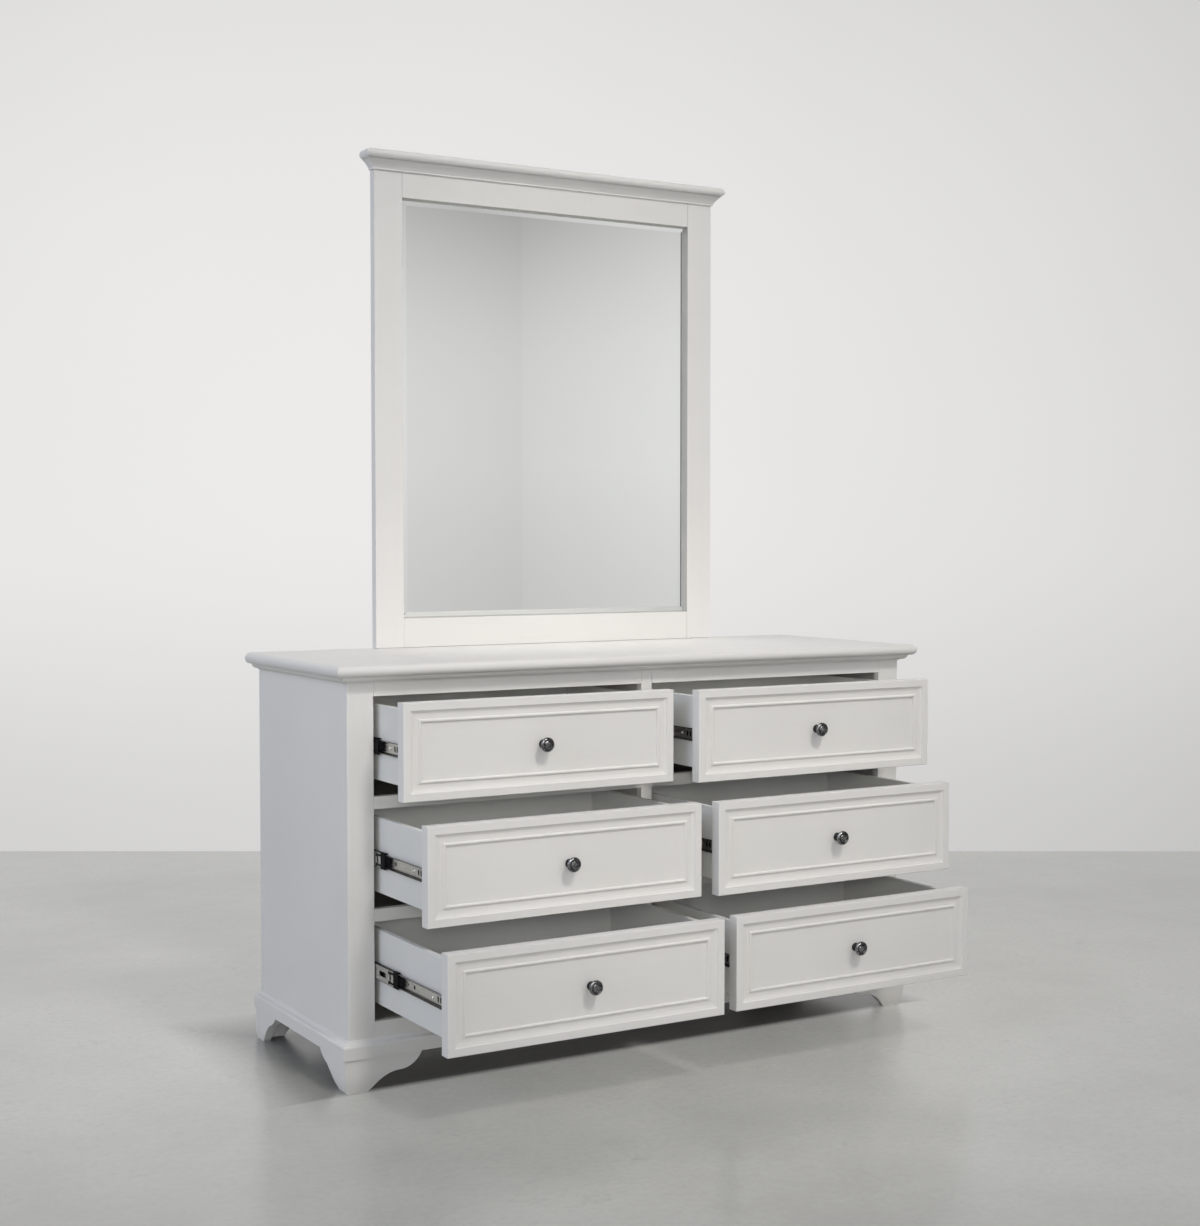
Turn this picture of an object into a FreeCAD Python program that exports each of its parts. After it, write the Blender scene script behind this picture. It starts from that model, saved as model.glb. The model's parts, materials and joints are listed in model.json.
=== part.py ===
import FreeCAD, Part
import os

# A painted dresser with six drawers on telescopic ball-bearing slides, and a framed
# mirror held on two posts behind its top. Sizes are millimetres. X runs across, Y runs
# from the front to the back and Z is up. The part is drawn from the front of the face
# frame and the middle of the width, and is moved to its origin when it is written out.

# ---- carcass ----
carcass_width = 1500.0
carcass_depth = 527.0
top_height = 918.0
top_thickness = 26.0
top_overhang = 35.0
panel_thickness = 18.0
back_thickness = 6.0
back_rebate_width = 9.0
deck_thickness = 16.0
deck_top = 132.0
inner_rail_height = 60.0
inner_rail_thickness = 18.0
lower_back_rail_bottom = 590.0
batten_height = 70.0

# ---- bed moulding under the top ----
bed_height = 14.0
bed_reach = 19.0
bed_foot_reach = 5.0
bed_fillet_reach = 3.0
bed_fillet_height = 3.0

# ---- face frame ----
frame_thickness = 20.0
outer_stile_width = 61.0
centre_stile_width = 28.5
drawer_rail_height = 27.0
bottom_rail_top = 148.0
top_rail_height = 42.6
stile_edge_radius = 2.5

# ---- base moulding and bracket feet ----
foot_height = 75.5
base_fascia_height = 27.0
base_ogee_height = 12.0
base_chamfer_height = 4.0
base_reach = 18.0
base_lip_reach = 15.0
base_top_reach = 2.0
foot_recess = 4.0
bracket_thickness = 20.0
bracket_face_height = 34.0
front_bracket_tuck = 10.0
rear_bracket_tuck = 3.5
bracket_bow = 1.8
bracket_sole_length = 42.0
bracket_toe_height = 15.0
bracket_toe_length = 15.0
front_bracket_length = 166.0
front_lobe_length = 49.0
front_lobe_drop = 35.0
front_lobe_bulge = 8.5
front_hollow_depth = 7.0
side_bracket_length = 130.0
side_lobe_length = 40.0
side_lobe_drop = 27.5
side_lobe_bulge = 4.0
side_hollow_depth = 3.0
rear_brace_length = 110.0
glue_block_size = 34.0
glue_block_clearance_below = 12.0

# ---- drawers ----
front_thickness = 28.0
front_gap = 4.0
front_border = 17.0
front_quirk_width = 1.0
front_quirk_depth = 3.0
cove_width = 16.5
cove_depth = 3.0
bead_quirk = 1.5
bead_diameter = 7.0
panel_recess = 7.0
front_edge_radius = 1.5
side_below_front_top = 15.0
side_above_front_bottom = 31.0
box_wall = 12.0
box_length = 430.0
floor_thickness = 5.0
floor_groove_depth = 6.0
floor_above_side_bottom = 10.0

# ---- knobs ----
knob_length = 28.0
knob_head_radius = 16.0
knob_stem_radius = 9.0
knob_head_thickness = 10.0

# ---- ball-bearing slides ----
slide_space = 12.7
slide_below_side_middle = 6.0
cabinet_rail_height = 45.4
runner_height = 35.4
drawer_rail_strip_height = 26.4
cabinet_rail_gauge = 1.2
runner_gauge = 1.0
drawer_rail_gauge = 1.0
rail_length = 400.0
runner_length = 304.0
cabinet_hook_depth = 7.2
runner_web_offset = 2.2
runner_depth = 7.7
drawer_rail_depth = 8.1
slide_play = 0.35
drawer_rail_lip = 2.0
stop_length = 22.0
stop_nose_length = 24.0
stop_nose_step = 2.0
rail_behind_front = 2.0
runner_slot_length = 22.0
runner_slot_width = 9.0
runner_slot_from_end = 36.0
drawer_travel = 400.0

# ---- mirror ----
mirror_offset = 29.0
mirror_width = 977.0
mirror_stile_width = 73.6
mirror_frame_thickness = 24.0
mirror_bottom_rail_height = 72.0
mirror_opening_height = 1022.0
mirror_frieze_height = 86.0
mirror_lip_thickness = 13.0
mirror_rebate = 10.0
glass_side_clearance = 2.0
glass_thickness = 4.0
glass_bevel_width = 15.0
glass_bevel_depth = 1.5
backboard_thickness = 4.0
crown_thickness = 22.0
crown_overhang = 28.0
crown_mould_height = 24.0
crown_mould_reach = 21.0
crown_mould_foot_reach = 4.0
crown_mould_fillet = 3.0
crown_hollow_depth = 1.6
post_width = 50.0
post_thickness = 20.0
post_bottom = 596.0
post_top = 1540.0

# ---- how far the drawers stand open, and how far their runners lag behind half-way ----
open_top_left = 144.0
open_top_right = 193.0
open_middle_left = 258.5
open_middle_right = 272.5
open_bottom_left = 349.0
open_bottom_right = 342.0
lag_top_left = 0.0
lag_top_right = 10.0
lag_middle_left = 25.0
lag_middle_right = 15.0
lag_bottom_left = 8.0
lag_bottom_right = 5.0

# Side -1 is the left one, and row 0 is the top one.
drawer_rows = 3
drawer_bays = [
    {"name": "top_left", "side": -1, "row": 0, "open": open_top_left, "lag": lag_top_left},
    {"name": "top_right", "side": 1, "row": 0, "open": open_top_right, "lag": lag_top_right},
    {"name": "middle_left", "side": -1, "row": 1, "open": open_middle_left, "lag": lag_middle_left},
    {"name": "middle_right", "side": 1, "row": 1, "open": open_middle_right, "lag": lag_middle_right},
    {"name": "bottom_left", "side": -1, "row": 2, "open": open_bottom_left, "lag": lag_bottom_left},
    {"name": "bottom_right", "side": 1, "row": 2, "open": open_bottom_right, "lag": lag_bottom_right},
]

# ---- places that follow from the sizes above ----
half_width = carcass_width / 2
carcass_top = top_height - top_thickness
inner_half_width = half_width - panel_thickness
back_panel_front = carcass_depth - back_thickness
opening_outer = half_width - outer_stile_width
opening_inner = centre_stile_width / 2
opening_width = opening_outer - opening_inner
opening_middle = (opening_outer + opening_inner) / 2
top_rail_bottom = carcass_top - top_rail_height
free_height = top_rail_bottom - bottom_rail_top - (drawer_rows - 1) * drawer_rail_height
drawer_opening_height = free_height / drawer_rows
row_pitch = drawer_opening_height + drawer_rail_height
front_width = opening_width - 2 * front_gap
front_height = drawer_opening_height - 2 * front_gap
box_width = opening_width - 2 * slide_space
side_height = front_height - side_below_front_top - side_above_front_bottom
slide_rise = side_above_front_bottom + side_height / 2 - slide_below_side_middle
rail_start = front_thickness + rail_behind_front
mirror_front = carcass_depth - mirror_frame_thickness
mirror_half_width = mirror_width / 2
opening_half_width = mirror_half_width - mirror_stile_width
mirror_opening_bottom = top_height + mirror_bottom_rail_height
mirror_opening_top = mirror_opening_bottom + mirror_opening_height
mirror_frame_top = mirror_opening_top + mirror_frieze_height
glass_margin = mirror_rebate - glass_side_clearance
glass_back = mirror_front + mirror_lip_thickness + glass_thickness - glass_bevel_depth
post_middle = mirror_half_width - mirror_stile_width / 2
foot_reach = base_reach - foot_recess
widest_open = max(bay["open"] for bay in drawer_bays)
foremost = panel_recess - knob_length - widest_open
rearmost = carcass_depth + post_thickness
y_shift = -(foremost + rearmost) / 2


# ---- drawing helpers ----
def on_xz(a, b):
    return FreeCAD.Vector(a, 0, b)


def on_yz(a, b):
    return FreeCAD.Vector(0, a, b)


def on_xy(a, b):
    return FreeCAD.Vector(a, b, 0)


def outline(start, steps, place):
    """Face inside a closed outline. A step is a point, or an arc's middle and end."""
    edges = []
    here = place(*start)
    for step in steps + [start]:
        if isinstance(step[0], tuple):
            end = place(*step[1])
            edges.append(Part.Arc(here, place(*step[0]), end).toShape())
        else:
            end = place(*step)
            if (end - here).Length > 1e-6:
                edges.append(Part.LineSegment(here, end).toShape())
        here = end
    return Part.Face(Part.Wire(edges))


def box(x0, x1, y0, y1, z0, z1):
    return Part.makeBox(x1 - x0, y1 - y0, z1 - z0, FreeCAD.Vector(x0, y0, z0))


def rod(radius, length, start, direction):
    return Part.makeCylinder(radius, length, start, direction)


def across(face, x0, x1):
    """Section drawn on YZ, run along X."""
    face.translate(FreeCAD.Vector(x0, 0, 0))
    return face.extrude(FreeCAD.Vector(x1 - x0, 0, 0))


def along(face, y0, y1):
    """Section drawn on XZ, run along Y."""
    face.translate(FreeCAD.Vector(0, y0, 0))
    return face.extrude(FreeCAD.Vector(0, y1 - y0, 0))


def upright(face, z0, z1):
    """Section drawn on XY, run along Z."""
    face.translate(FreeCAD.Vector(0, 0, z0))
    return face.extrude(FreeCAD.Vector(0, 0, z1 - z0))


def quarter(centre, radius_a, radius_b):
    """Middle point of a quarter arc round a centre, with signed reaches."""
    return (centre[0] + radius_a * 0.5 ** 0.5, centre[1] + radius_b * 0.5 ** 0.5)


def unit(a, b):
    length = ((b[0] - a[0]) ** 2 + (b[1] - a[1]) ** 2) ** 0.5
    return ((b[0] - a[0]) / length, (b[1] - a[1]) / length)


def bowed(start, end, depth):
    """Arc step to the end, whose middle lies to the left of the straight line by the depth."""
    toward = unit(start, end)
    middle_a = (start[0] + end[0]) / 2 - toward[1] * depth
    middle_b = (start[1] + end[1]) / 2 + toward[0] * depth
    return ((middle_a, middle_b), end)


def opening_bottom(row):
    return bottom_rail_top + (drawer_rows - 1 - row) * row_pitch


def nosed_slab(half, front, back, bottom, top):
    """Board with a full bullnose on its front and ends, mitred at the corners."""
    nose = (top - bottom) / 2
    middle = bottom + nose
    ends = outline(
        (half - nose, bottom),
        [
            ((half, middle), (half - nose, top)),
            (nose - half, top),
            ((-half, middle), (nose - half, bottom)),
        ],
        on_xz,
    )
    edge = outline(
        (back, bottom),
        [(back, top), (front + nose, top), ((front, middle), (front + nose, bottom))],
        on_yz,
    )
    return along(ends, front, back).common(across(edge, -half, half))


def mitred_front(section, half, reach, inset):
    """Run of a section given as outward reach and height, mitred at both ends."""
    start, steps = section
    face = outline(start, steps, lambda out, z: FreeCAD.Vector(0, -out, z))
    run = across(face, -half - reach, half + reach)
    plan = outline(
        (inset - half, inset),
        [(half - inset, inset), (half + reach, -reach), (-half - reach, -reach)],
        on_xy,
    )
    bounds = run.BoundBox
    return run.common(upright(plan, bounds.ZMin - 1, bounds.ZMax + 1))


def mitred_side(section, half, side, reach, inset, front, back):
    """Side run of the same section, mitred at its front end."""
    start, steps = section
    face = outline(start, steps, lambda out, z: FreeCAD.Vector(side * (half + out), 0, z))
    run = along(face, front - reach, back)
    inner = side * (half - inset)
    outer = side * (half + reach)
    plan = outline(
        (inner, front + inset),
        [(outer, front - reach), (outer, back), (inner, back)],
        on_xy,
    )
    bounds = run.BoundBox
    return run.common(upright(plan, bounds.ZMin - 1, bounds.ZMax + 1))


def mitred_surround(section, half, reach, front, back):
    """The front run and both side runs of a moulding."""
    front_run = mitred_front(section, half, reach, 0.0)
    front_run.translate(FreeCAD.Vector(0, front, 0))
    sides = [mitred_side(section, half, side, reach, 0.0, front, back) for side in (-1, 1)]
    return [front_run] + sides


def folded_strip(points, gauge, place):
    """Section of sheet metal folded square, whose middle line follows the points."""
    sides = {1: [], -1: []}
    for index, point in enumerate(points):
        runs = [unit(a, b) for a, b in zip(points[:-1], points[1:]) if point in (a, b)]
        lean = (sum(run[0] for run in runs), sum(run[1] for run in runs))
        for side, path in sides.items():
            reach = side * gauge / 2
            path.append((point[0] - lean[1] * reach, point[1] + lean[0] * reach))
    corners = sides[1] + sides[-1][::-1]
    return outline(corners[0], corners[1:], place)


def write(name, solids):
    """Moves the pieces of a node to the part's origin and writes them."""
    moved = [solid.translated(FreeCAD.Vector(0, y_shift, 0)) for solid in solids]
    shape = moved[0] if len(moved) == 1 else Part.makeCompound(moved)
    shape.exportStep("parts/" + name + ".step")


# ---- top and bed moulding ----
def top_board():
    half = half_width + top_overhang
    return nosed_slab(half, -top_overhang, carcass_depth, carcass_top, top_height)


def bed_section():
    """Quarter-round moulding that stands on a small square fillet."""
    low = carcass_top - bed_height
    shoulder = low + bed_fillet_height
    rise = bed_height - bed_fillet_height
    bulge = bed_reach - bed_foot_reach
    return (
        (0.0, low),
        [
            (bed_fillet_reach, low),
            (bed_fillet_reach, shoulder),
            (bed_foot_reach, shoulder),
            (quarter((bed_foot_reach, carcass_top), bulge, -rise), (bed_reach, carcass_top)),
            (0.0, carcass_top),
        ],
    )


def bed_moulding():
    return mitred_surround(bed_section(), half_width, bed_reach, 0.0, carcass_depth)


# ---- carcass panels ----
def side_panel(side):
    inner = side * inner_half_width
    outer = side * half_width
    rebate = side * (inner_half_width + back_rebate_width)
    plan = outline(
        (outer, frame_thickness),
        [(outer, carcass_depth), (rebate, carcass_depth), (rebate, back_panel_front),
         (inner, back_panel_front), (inner, frame_thickness)],
        on_xy,
    )
    return upright(plan, foot_height, carcass_top)


def bottom_board():
    low = deck_top - deck_thickness
    return box(-inner_half_width, inner_half_width, frame_thickness, back_panel_front, low, deck_top)


def centre_partition():
    half = panel_thickness / 2
    return box(-half, half, frame_thickness, back_panel_front, deck_top, carcass_top)


def back_panel():
    half = inner_half_width + back_rebate_width
    return box(-half, half, back_panel_front, carcass_depth, foot_height, carcass_top)


def slide_height(row):
    """Middle of the slides of a row."""
    return opening_bottom(row) + front_gap + slide_rise


def inner_rails():
    """Battens that carry the slides, and rails along the back that take the mirror's posts."""
    pieces = []
    half_partition = panel_thickness / 2
    for row in range(drawer_rows):
        low = slide_height(row) - batten_height / 2
        high = low + batten_height
        for side in (-1, 1):
            for near, far in ((half_partition, opening_inner), (opening_outer, inner_half_width)):
                ends = sorted((side * near, side * far))
                pieces.append(box(ends[0], ends[1], frame_thickness, back_panel_front, low, high))
    rail_front = back_panel_front - inner_rail_thickness
    for low in (lower_back_rail_bottom, carcass_top - inner_rail_height):
        for side in (-1, 1):
            ends = sorted((side * half_partition, side * inner_half_width))
            high = low + inner_rail_height
            pieces.append(box(ends[0], ends[1], rail_front, back_panel_front, low, high))
    return pieces


# ---- face frame ----
def outer_stile(side):
    outer = side * half_width
    inner = side * opening_outer
    ease = side * stile_edge_radius
    corner = quarter((outer - ease, stile_edge_radius), ease, -stile_edge_radius)
    plan = outline(
        (inner, 0.0),
        [
            (outer - ease, 0.0),
            (corner, (outer, stile_edge_radius)),
            (outer, frame_thickness),
            (inner, frame_thickness),
        ],
        on_xy,
    )
    return upright(plan, foot_height, carcass_top)


def centre_stile():
    return box(-opening_inner, opening_inner, 0, frame_thickness, foot_height, carcass_top)


def frame_rails():
    """Top, drawer and bottom rails, butted between the stiles."""
    levels = [(foot_height, bottom_rail_top), (top_rail_bottom, carcass_top)]
    for row in range(drawer_rows - 1):
        high = opening_bottom(row)
        levels.append((high - drawer_rail_height, high))
    pieces = []
    for side in (-1, 1):
        ends = sorted((side * opening_inner, side * opening_outer))
        for low, high in levels:
            pieces.append(box(ends[0], ends[1], 0, frame_thickness, low, high))
    return pieces


# ---- base moulding and feet ----
def base_section():
    """Fascia with a hollow above it that dies into the carcass."""
    lip = foot_height + base_fascia_height
    top = lip + base_ogee_height
    bottom_of_cove = lip + base_chamfer_height
    hollow = base_lip_reach - base_top_reach
    rise = top - bottom_of_cove
    return (
        (0.0, foot_height),
        [
            (base_reach, foot_height),
            (base_reach, lip),
            (base_lip_reach, bottom_of_cove),
            (quarter((base_lip_reach, top), -hollow, -rise), (base_top_reach, top)),
            (0.0, top),
        ],
    )


def base_moulding():
    return mitred_surround(base_section(), half_width, base_reach, 0.0, carcass_depth)


def bracket_section(tuck):
    """Bracket face: upright above, tucked in on a hollow below."""
    tuck_start = foot_height - bracket_face_height
    inner = foot_reach - bracket_thickness
    sole = foot_reach - tuck
    return (
        (inner, 0.0),
        [
            (sole, 0.0),
            bowed((sole, 0.0), (foot_reach, tuck_start), -bracket_bow),
            (foot_reach, foot_height),
            (inner, foot_height),
        ],
    )


def bracket_outline(length, lobe_length, lobe_drop, lobe_bulge, hollow_depth, place):
    """Scrolled elevation of a bracket: sole, splayed toe, long hollow and round lobe."""
    toe = (bracket_sole_length + bracket_toe_length, bracket_toe_height)
    turn = (length - lobe_length, foot_height - lobe_drop)
    end = (length, foot_height)
    return outline(
        (-base_reach, 0.0),
        [
            (bracket_sole_length, 0.0),
            toe,
            bowed(toe, turn, hollow_depth),
            bowed(turn, end, -lobe_bulge),
            (-base_reach, foot_height),
        ],
        place,
    )


def front_bracket(side):
    inset = bracket_thickness - foot_reach
    run = mitred_front(bracket_section(front_bracket_tuck), half_width, foot_reach, inset)
    shape = bracket_outline(
        front_bracket_length,
        front_lobe_length,
        front_lobe_drop,
        front_lobe_bulge,
        front_hollow_depth,
        lambda a, z: FreeCAD.Vector(side * (half_width - a), 0, z),
    )
    return run.common(along(shape, -base_reach, bracket_thickness))


def side_bracket(side, at_front):
    inset = bracket_thickness - foot_reach
    if at_front:
        section = bracket_section(front_bracket_tuck)
        place = on_yz
    else:
        section = bracket_section(rear_bracket_tuck)

        def place(a, z):
            return FreeCAD.Vector(0, carcass_depth - a, z)
    run = mitred_side(section, half_width, side, foot_reach, inset, 0.0, carcass_depth)
    shape = bracket_outline(
        side_bracket_length,
        side_lobe_length,
        side_lobe_drop,
        side_lobe_bulge,
        side_hollow_depth,
        place,
    )
    ends = sorted((side * (half_width - panel_thickness), side * (half_width + base_reach)))
    return run.common(across(shape, ends[0], ends[1]))


def glue_block(side, y0):
    outer = half_width + foot_reach - bracket_thickness
    ends = sorted((side * (outer - glue_block_size), side * outer))
    return box(ends[0], ends[1], y0, y0 + glue_block_size, glue_block_clearance_below, foot_height)


def rear_brace(side):
    """Plain brace across the back of a rear foot, with one sloped end."""
    outer = half_width + foot_reach - bracket_thickness
    shape = outline(
        (side * outer, 0.0),
        [
            (side * (outer - bracket_sole_length), 0.0),
            (side * (outer - rear_brace_length), foot_height),
            (side * outer, foot_height),
        ],
        on_xz,
    )
    return along(shape, carcass_depth - bracket_thickness, carcass_depth)


def front_foot(side):
    inset = bracket_thickness - foot_reach
    return [front_bracket(side), side_bracket(side, True), glue_block(side, inset)]


def rear_foot(side):
    block_y = carcass_depth - bracket_thickness - glue_block_size
    return [side_bracket(side, False), rear_brace(side), glue_block(side, block_y)]


# ---- slides ----
def slide_point(bay_x, side, height):
    """Places slide sections: u from the cabinet towards the drawer, w up."""
    edge = bay_x - side * opening_width / 2
    return lambda u, w: FreeCAD.Vector(edge + side * u, 0, height + w)


def cabinet_rail(place):
    half = cabinet_rail_height / 2 - cabinet_rail_gauge / 2
    web = cabinet_rail_gauge / 2
    lip_u = cabinet_hook_depth - cabinet_rail_gauge / 2
    tip = runner_height / 2 + slide_play
    points = [(lip_u, tip), (lip_u, half), (web, half), (web, -half), (lip_u, -half), (lip_u, -tip)]
    section = folded_strip(points, cabinet_rail_gauge, place)
    return along(section, rail_start, rail_start + rail_length)


def runner_points():
    half = runner_height / 2 - runner_gauge / 2
    web = runner_web_offset + runner_gauge / 2
    lip_u = runner_web_offset + runner_depth - runner_gauge / 2
    tip = drawer_rail_strip_height / 2 + slide_play
    return [(lip_u, tip), (lip_u, half), (web, half), (web, -half), (lip_u, -half), (lip_u, -tip)]


def drawer_rail_points():
    half = drawer_rail_strip_height / 2 - drawer_rail_gauge / 2
    web = slide_space - drawer_rail_gauge / 2
    lip_u = slide_space - drawer_rail_depth + drawer_rail_gauge / 2
    tip = half + drawer_rail_lip
    return [(lip_u, tip), (lip_u, half), (web, half), (web, -half), (lip_u, -half), (lip_u, -tip)]


def runner(place, front):
    """Middle member of one slide, slotted near both ends, with its moulded end stop."""
    rail_front = front + stop_length + stop_nose_length
    rail_back = rail_front + runner_length
    rail = along(folded_strip(runner_points(), runner_gauge, place), rail_front, rail_back)
    half_slot = runner_slot_width / 2
    slot_section = outline(
        (0.0, -half_slot),
        [(runner_depth, -half_slot), (runner_depth, half_slot), (0.0, half_slot)],
        place,
    )
    reach = runner_slot_length / 2
    for middle in (rail_front + runner_slot_from_end, rail_back - runner_slot_from_end):
        rail = rail.cut(along(slot_section.copy(), middle - reach, middle + reach))
    return [rail, end_stop(place, front)]


def end_stop(place, front):
    """Moulded stop that fills the runner's front end and reaches into the drawer rail."""
    plate_near = runner_web_offset
    plate_far = slide_space - drawer_rail_depth - slide_play
    horn_low = drawer_rail_strip_height / 2 - drawer_rail_gauge / 2 + drawer_rail_lip + slide_play
    horn_high = runner_height / 2
    horn_far = runner_web_offset + runner_depth
    core_far = slide_space - drawer_rail_gauge - slide_play
    core_half = drawer_rail_strip_height / 2 - drawer_rail_gauge - slide_play
    section = outline(
        (plate_near, -horn_high),
        [
            (horn_far, -horn_high),
            (horn_far, -horn_low),
            (plate_far, -horn_low),
            (plate_far, -core_half),
            (core_far, -core_half),
            (core_far, core_half),
            (plate_far, core_half),
            (plate_far, horn_low),
            (horn_far, horn_low),
            (horn_far, horn_high),
            (plate_near, horn_high),
        ],
        place,
    )
    nose_half = core_half - stop_nose_step
    nose_near = plate_far + stop_nose_step
    nose_section = outline(
        (nose_near, -nose_half),
        [(core_far, -nose_half), (core_far, nose_half), (nose_near, nose_half)],
        place,
    )
    body = along(section, front + stop_nose_length, front + stop_nose_length + stop_length)
    nose = along(nose_section, front, front + stop_nose_length)
    return body.fuse(nose).removeSplitter()


def drawer_rail(place, drawer_y):
    section = folded_strip(drawer_rail_points(), drawer_rail_gauge, place)
    start = drawer_y + rail_start
    return along(section, start, start + rail_length)


def slide_places(bay):
    """The two slides of a drawer: the side towards the wall and the one by the middle."""
    bay_x = bay["side"] * opening_middle
    height = slide_height(bay["row"])
    return [slide_point(bay_x, 1, height), slide_point(bay_x, -1, height)]


# ---- drawers ----
def front_profile(half):
    """Half of the moulded face across one direction: border, hollow, bead and panel."""
    border = half - front_border
    quirk = border - front_quirk_width
    cove_end = quirk - cove_width
    cove_floor = front_quirk_depth + cove_depth
    bead_start = cove_end - bead_quirk
    bead_radius = bead_diameter / 2
    bead_end = bead_start - bead_diameter
    ease = front_edge_radius
    return [
        (half, ease),
        (quarter((half - ease, ease), ease, -ease), (half - ease, 0.0)),
        (border, 0.0),
        (quirk, front_quirk_depth),
        (quarter((cove_end, front_quirk_depth), cove_width, cove_depth), (cove_end, cove_floor)),
        (bead_start, cove_floor),
        ((bead_start - bead_radius, cove_floor - bead_radius), (bead_end, cove_floor)),
        (bead_end, panel_recess),
    ]


def mirrored(steps):
    """The same outline steps, reflected and run the other way."""
    ends = [step[1] if isinstance(step[0], tuple) else step for step in steps]
    middles = [step[0] if isinstance(step[0], tuple) else None for step in steps[1:]] + [None]
    flipped = []
    for end, middle in zip(reversed(ends), reversed(middles)):
        end = (-end[0], end[1])
        flipped.append(end if middle is None else ((-middle[0], middle[1]), end))
    return flipped


def front_section(half, place):
    steps = front_profile(half)
    return outline((half, front_thickness), steps + mirrored(steps) + [(-half, front_thickness)], place)


def drawer_front(bay):
    """Thick front with a mitred moulding round a sunk panel."""
    half_x = front_width / 2
    half_z = front_height / 2
    middle_x = bay["side"] * opening_middle
    middle_z = opening_bottom(bay["row"]) + drawer_opening_height / 2
    plan = front_section(half_x, on_xy)
    elevation = front_section(half_z, lambda z, y: FreeCAD.Vector(0, y, z))
    sides = upright(plan, -half_z, half_z)
    rails = across(elevation, -half_x, half_x)
    reach = half_x - half_z
    pieces = []
    for side in (-1, 1):
        end = outline((side * half_x, -half_z), [(side * half_x, half_z), (side * reach, 0.0)], on_xz)
        pieces.append(sides.common(along(end, 0.0, front_thickness)))
        edge = outline(
            (-half_x, side * half_z),
            [(half_x, side * half_z), (reach, 0.0), (-reach, 0.0)],
            on_xz,
        )
        pieces.append(rails.common(along(edge, 0.0, front_thickness)))
    solid = pieces[0].fuse(pieces[1:]).removeSplitter()
    solid = Part.makeSolid(solid.Shells[0])
    return solid.translated(FreeCAD.Vector(middle_x, -bay["open"], middle_z))


def side_bottom(bay):
    return opening_bottom(bay["row"]) + front_gap + side_above_front_bottom


def drawer_floor(bay):
    """Floor panel, which runs in grooves and passes under the drawer's back."""
    middle_x = bay["side"] * opening_middle
    half = box_width / 2 - box_wall + floor_groove_depth
    near = front_thickness - bay["open"]
    front_edge = near + box_wall - floor_groove_depth
    low = side_bottom(bay) + floor_above_side_bottom
    high = low + floor_thickness
    return box(middle_x - half, middle_x + half, front_edge, near + box_length, low, high)


def drawer_box(bay):
    """Two sides and an inner front, grooved for the floor, and a back that stands on it."""
    middle_x = bay["side"] * opening_middle
    inner = box_width / 2 - box_wall
    low = side_bottom(bay)
    high = low + side_height
    near = front_thickness - bay["open"]
    far = near + box_length
    floor = drawer_floor(bay)
    pieces = []
    for side in (-1, 1):
        ends = sorted((middle_x + side * inner, middle_x + side * box_width / 2))
        pieces.append(box(ends[0], ends[1], near, far, low, high).cut(floor))
    inner_front = box(middle_x - inner, middle_x + inner, near, near + box_wall, low, high)
    pieces.append(inner_front.cut(floor))
    floor_top = floor.BoundBox.ZMax
    pieces.append(box(middle_x - inner, middle_x + inner, far - box_wall, far, floor_top, high))
    return pieces


def knob(bay):
    """Round knob: a stout stem and a thick disc for a head."""
    head_start = knob_length - knob_head_thickness
    middle_z = opening_bottom(bay["row"]) + drawer_opening_height / 2
    seat = FreeCAD.Vector(bay["side"] * opening_middle, panel_recess - bay["open"], middle_z)
    outward = FreeCAD.Vector(0, -1, 0)
    stem = rod(knob_stem_radius, head_start, seat, outward)
    head = rod(knob_head_radius, knob_head_thickness, seat + outward * head_start, outward)
    return stem.fuse(head)


# ---- mirror ----
def mirror_stile(side):
    """Stile with a rebate along its inner back edge."""
    outer = side * mirror_half_width
    inner = side * opening_half_width
    rebate = side * (opening_half_width + mirror_rebate)
    lip = mirror_front + mirror_lip_thickness
    plan = outline(
        (outer, mirror_front),
        [(outer, carcass_depth), (rebate, carcass_depth), (rebate, lip), (inner, lip), (inner, mirror_front)],
        on_xy,
    )
    return upright(plan, top_height, mirror_frame_top)


def mirror_frame():
    """Two stiles with a rail between them at each end, all rebated round the opening."""
    pieces = [mirror_stile(-1), mirror_stile(1)]
    rebate = box(
        -opening_half_width,
        opening_half_width,
        mirror_front + mirror_lip_thickness,
        carcass_depth,
        mirror_opening_bottom - mirror_rebate,
        mirror_opening_top + mirror_rebate,
    )
    for low, high in ((top_height, mirror_opening_bottom), (mirror_opening_top, mirror_frame_top)):
        rail = box(-opening_half_width, opening_half_width, mirror_front, carcass_depth, low, high)
        pieces.append(rail.cut(rebate))
    return pieces


def mirror_glass():
    """Silvered plate whose face is ground to a bevel that ends under the lip."""
    half = opening_half_width + glass_margin
    rim = glass_back - glass_thickness + glass_bevel_depth
    face = glass_back - glass_thickness
    low = mirror_opening_bottom
    high = mirror_opening_top
    plan = outline(
        (half, glass_back),
        [
            (half, rim),
            (opening_half_width, rim),
            (opening_half_width - glass_bevel_width, face),
            (glass_bevel_width - opening_half_width, face),
            (-opening_half_width, rim),
            (-half, rim),
            (-half, glass_back),
        ],
        on_xy,
    )
    elevation = outline(
        (glass_back, low - glass_margin),
        [
            (rim, low - glass_margin),
            (rim, low),
            (face, low + glass_bevel_width),
            (face, high - glass_bevel_width),
            (rim, high),
            (rim, high + glass_margin),
            (glass_back, high + glass_margin),
        ],
        on_yz,
    )
    return upright(plan, low - glass_margin, high + glass_margin).common(across(elevation, -half, half))


def mirror_backboard():
    half = opening_half_width + glass_margin
    low = mirror_opening_bottom - glass_margin
    high = mirror_opening_top + glass_margin
    return box(-half, half, glass_back, glass_back + backboard_thickness, low, high)


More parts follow.
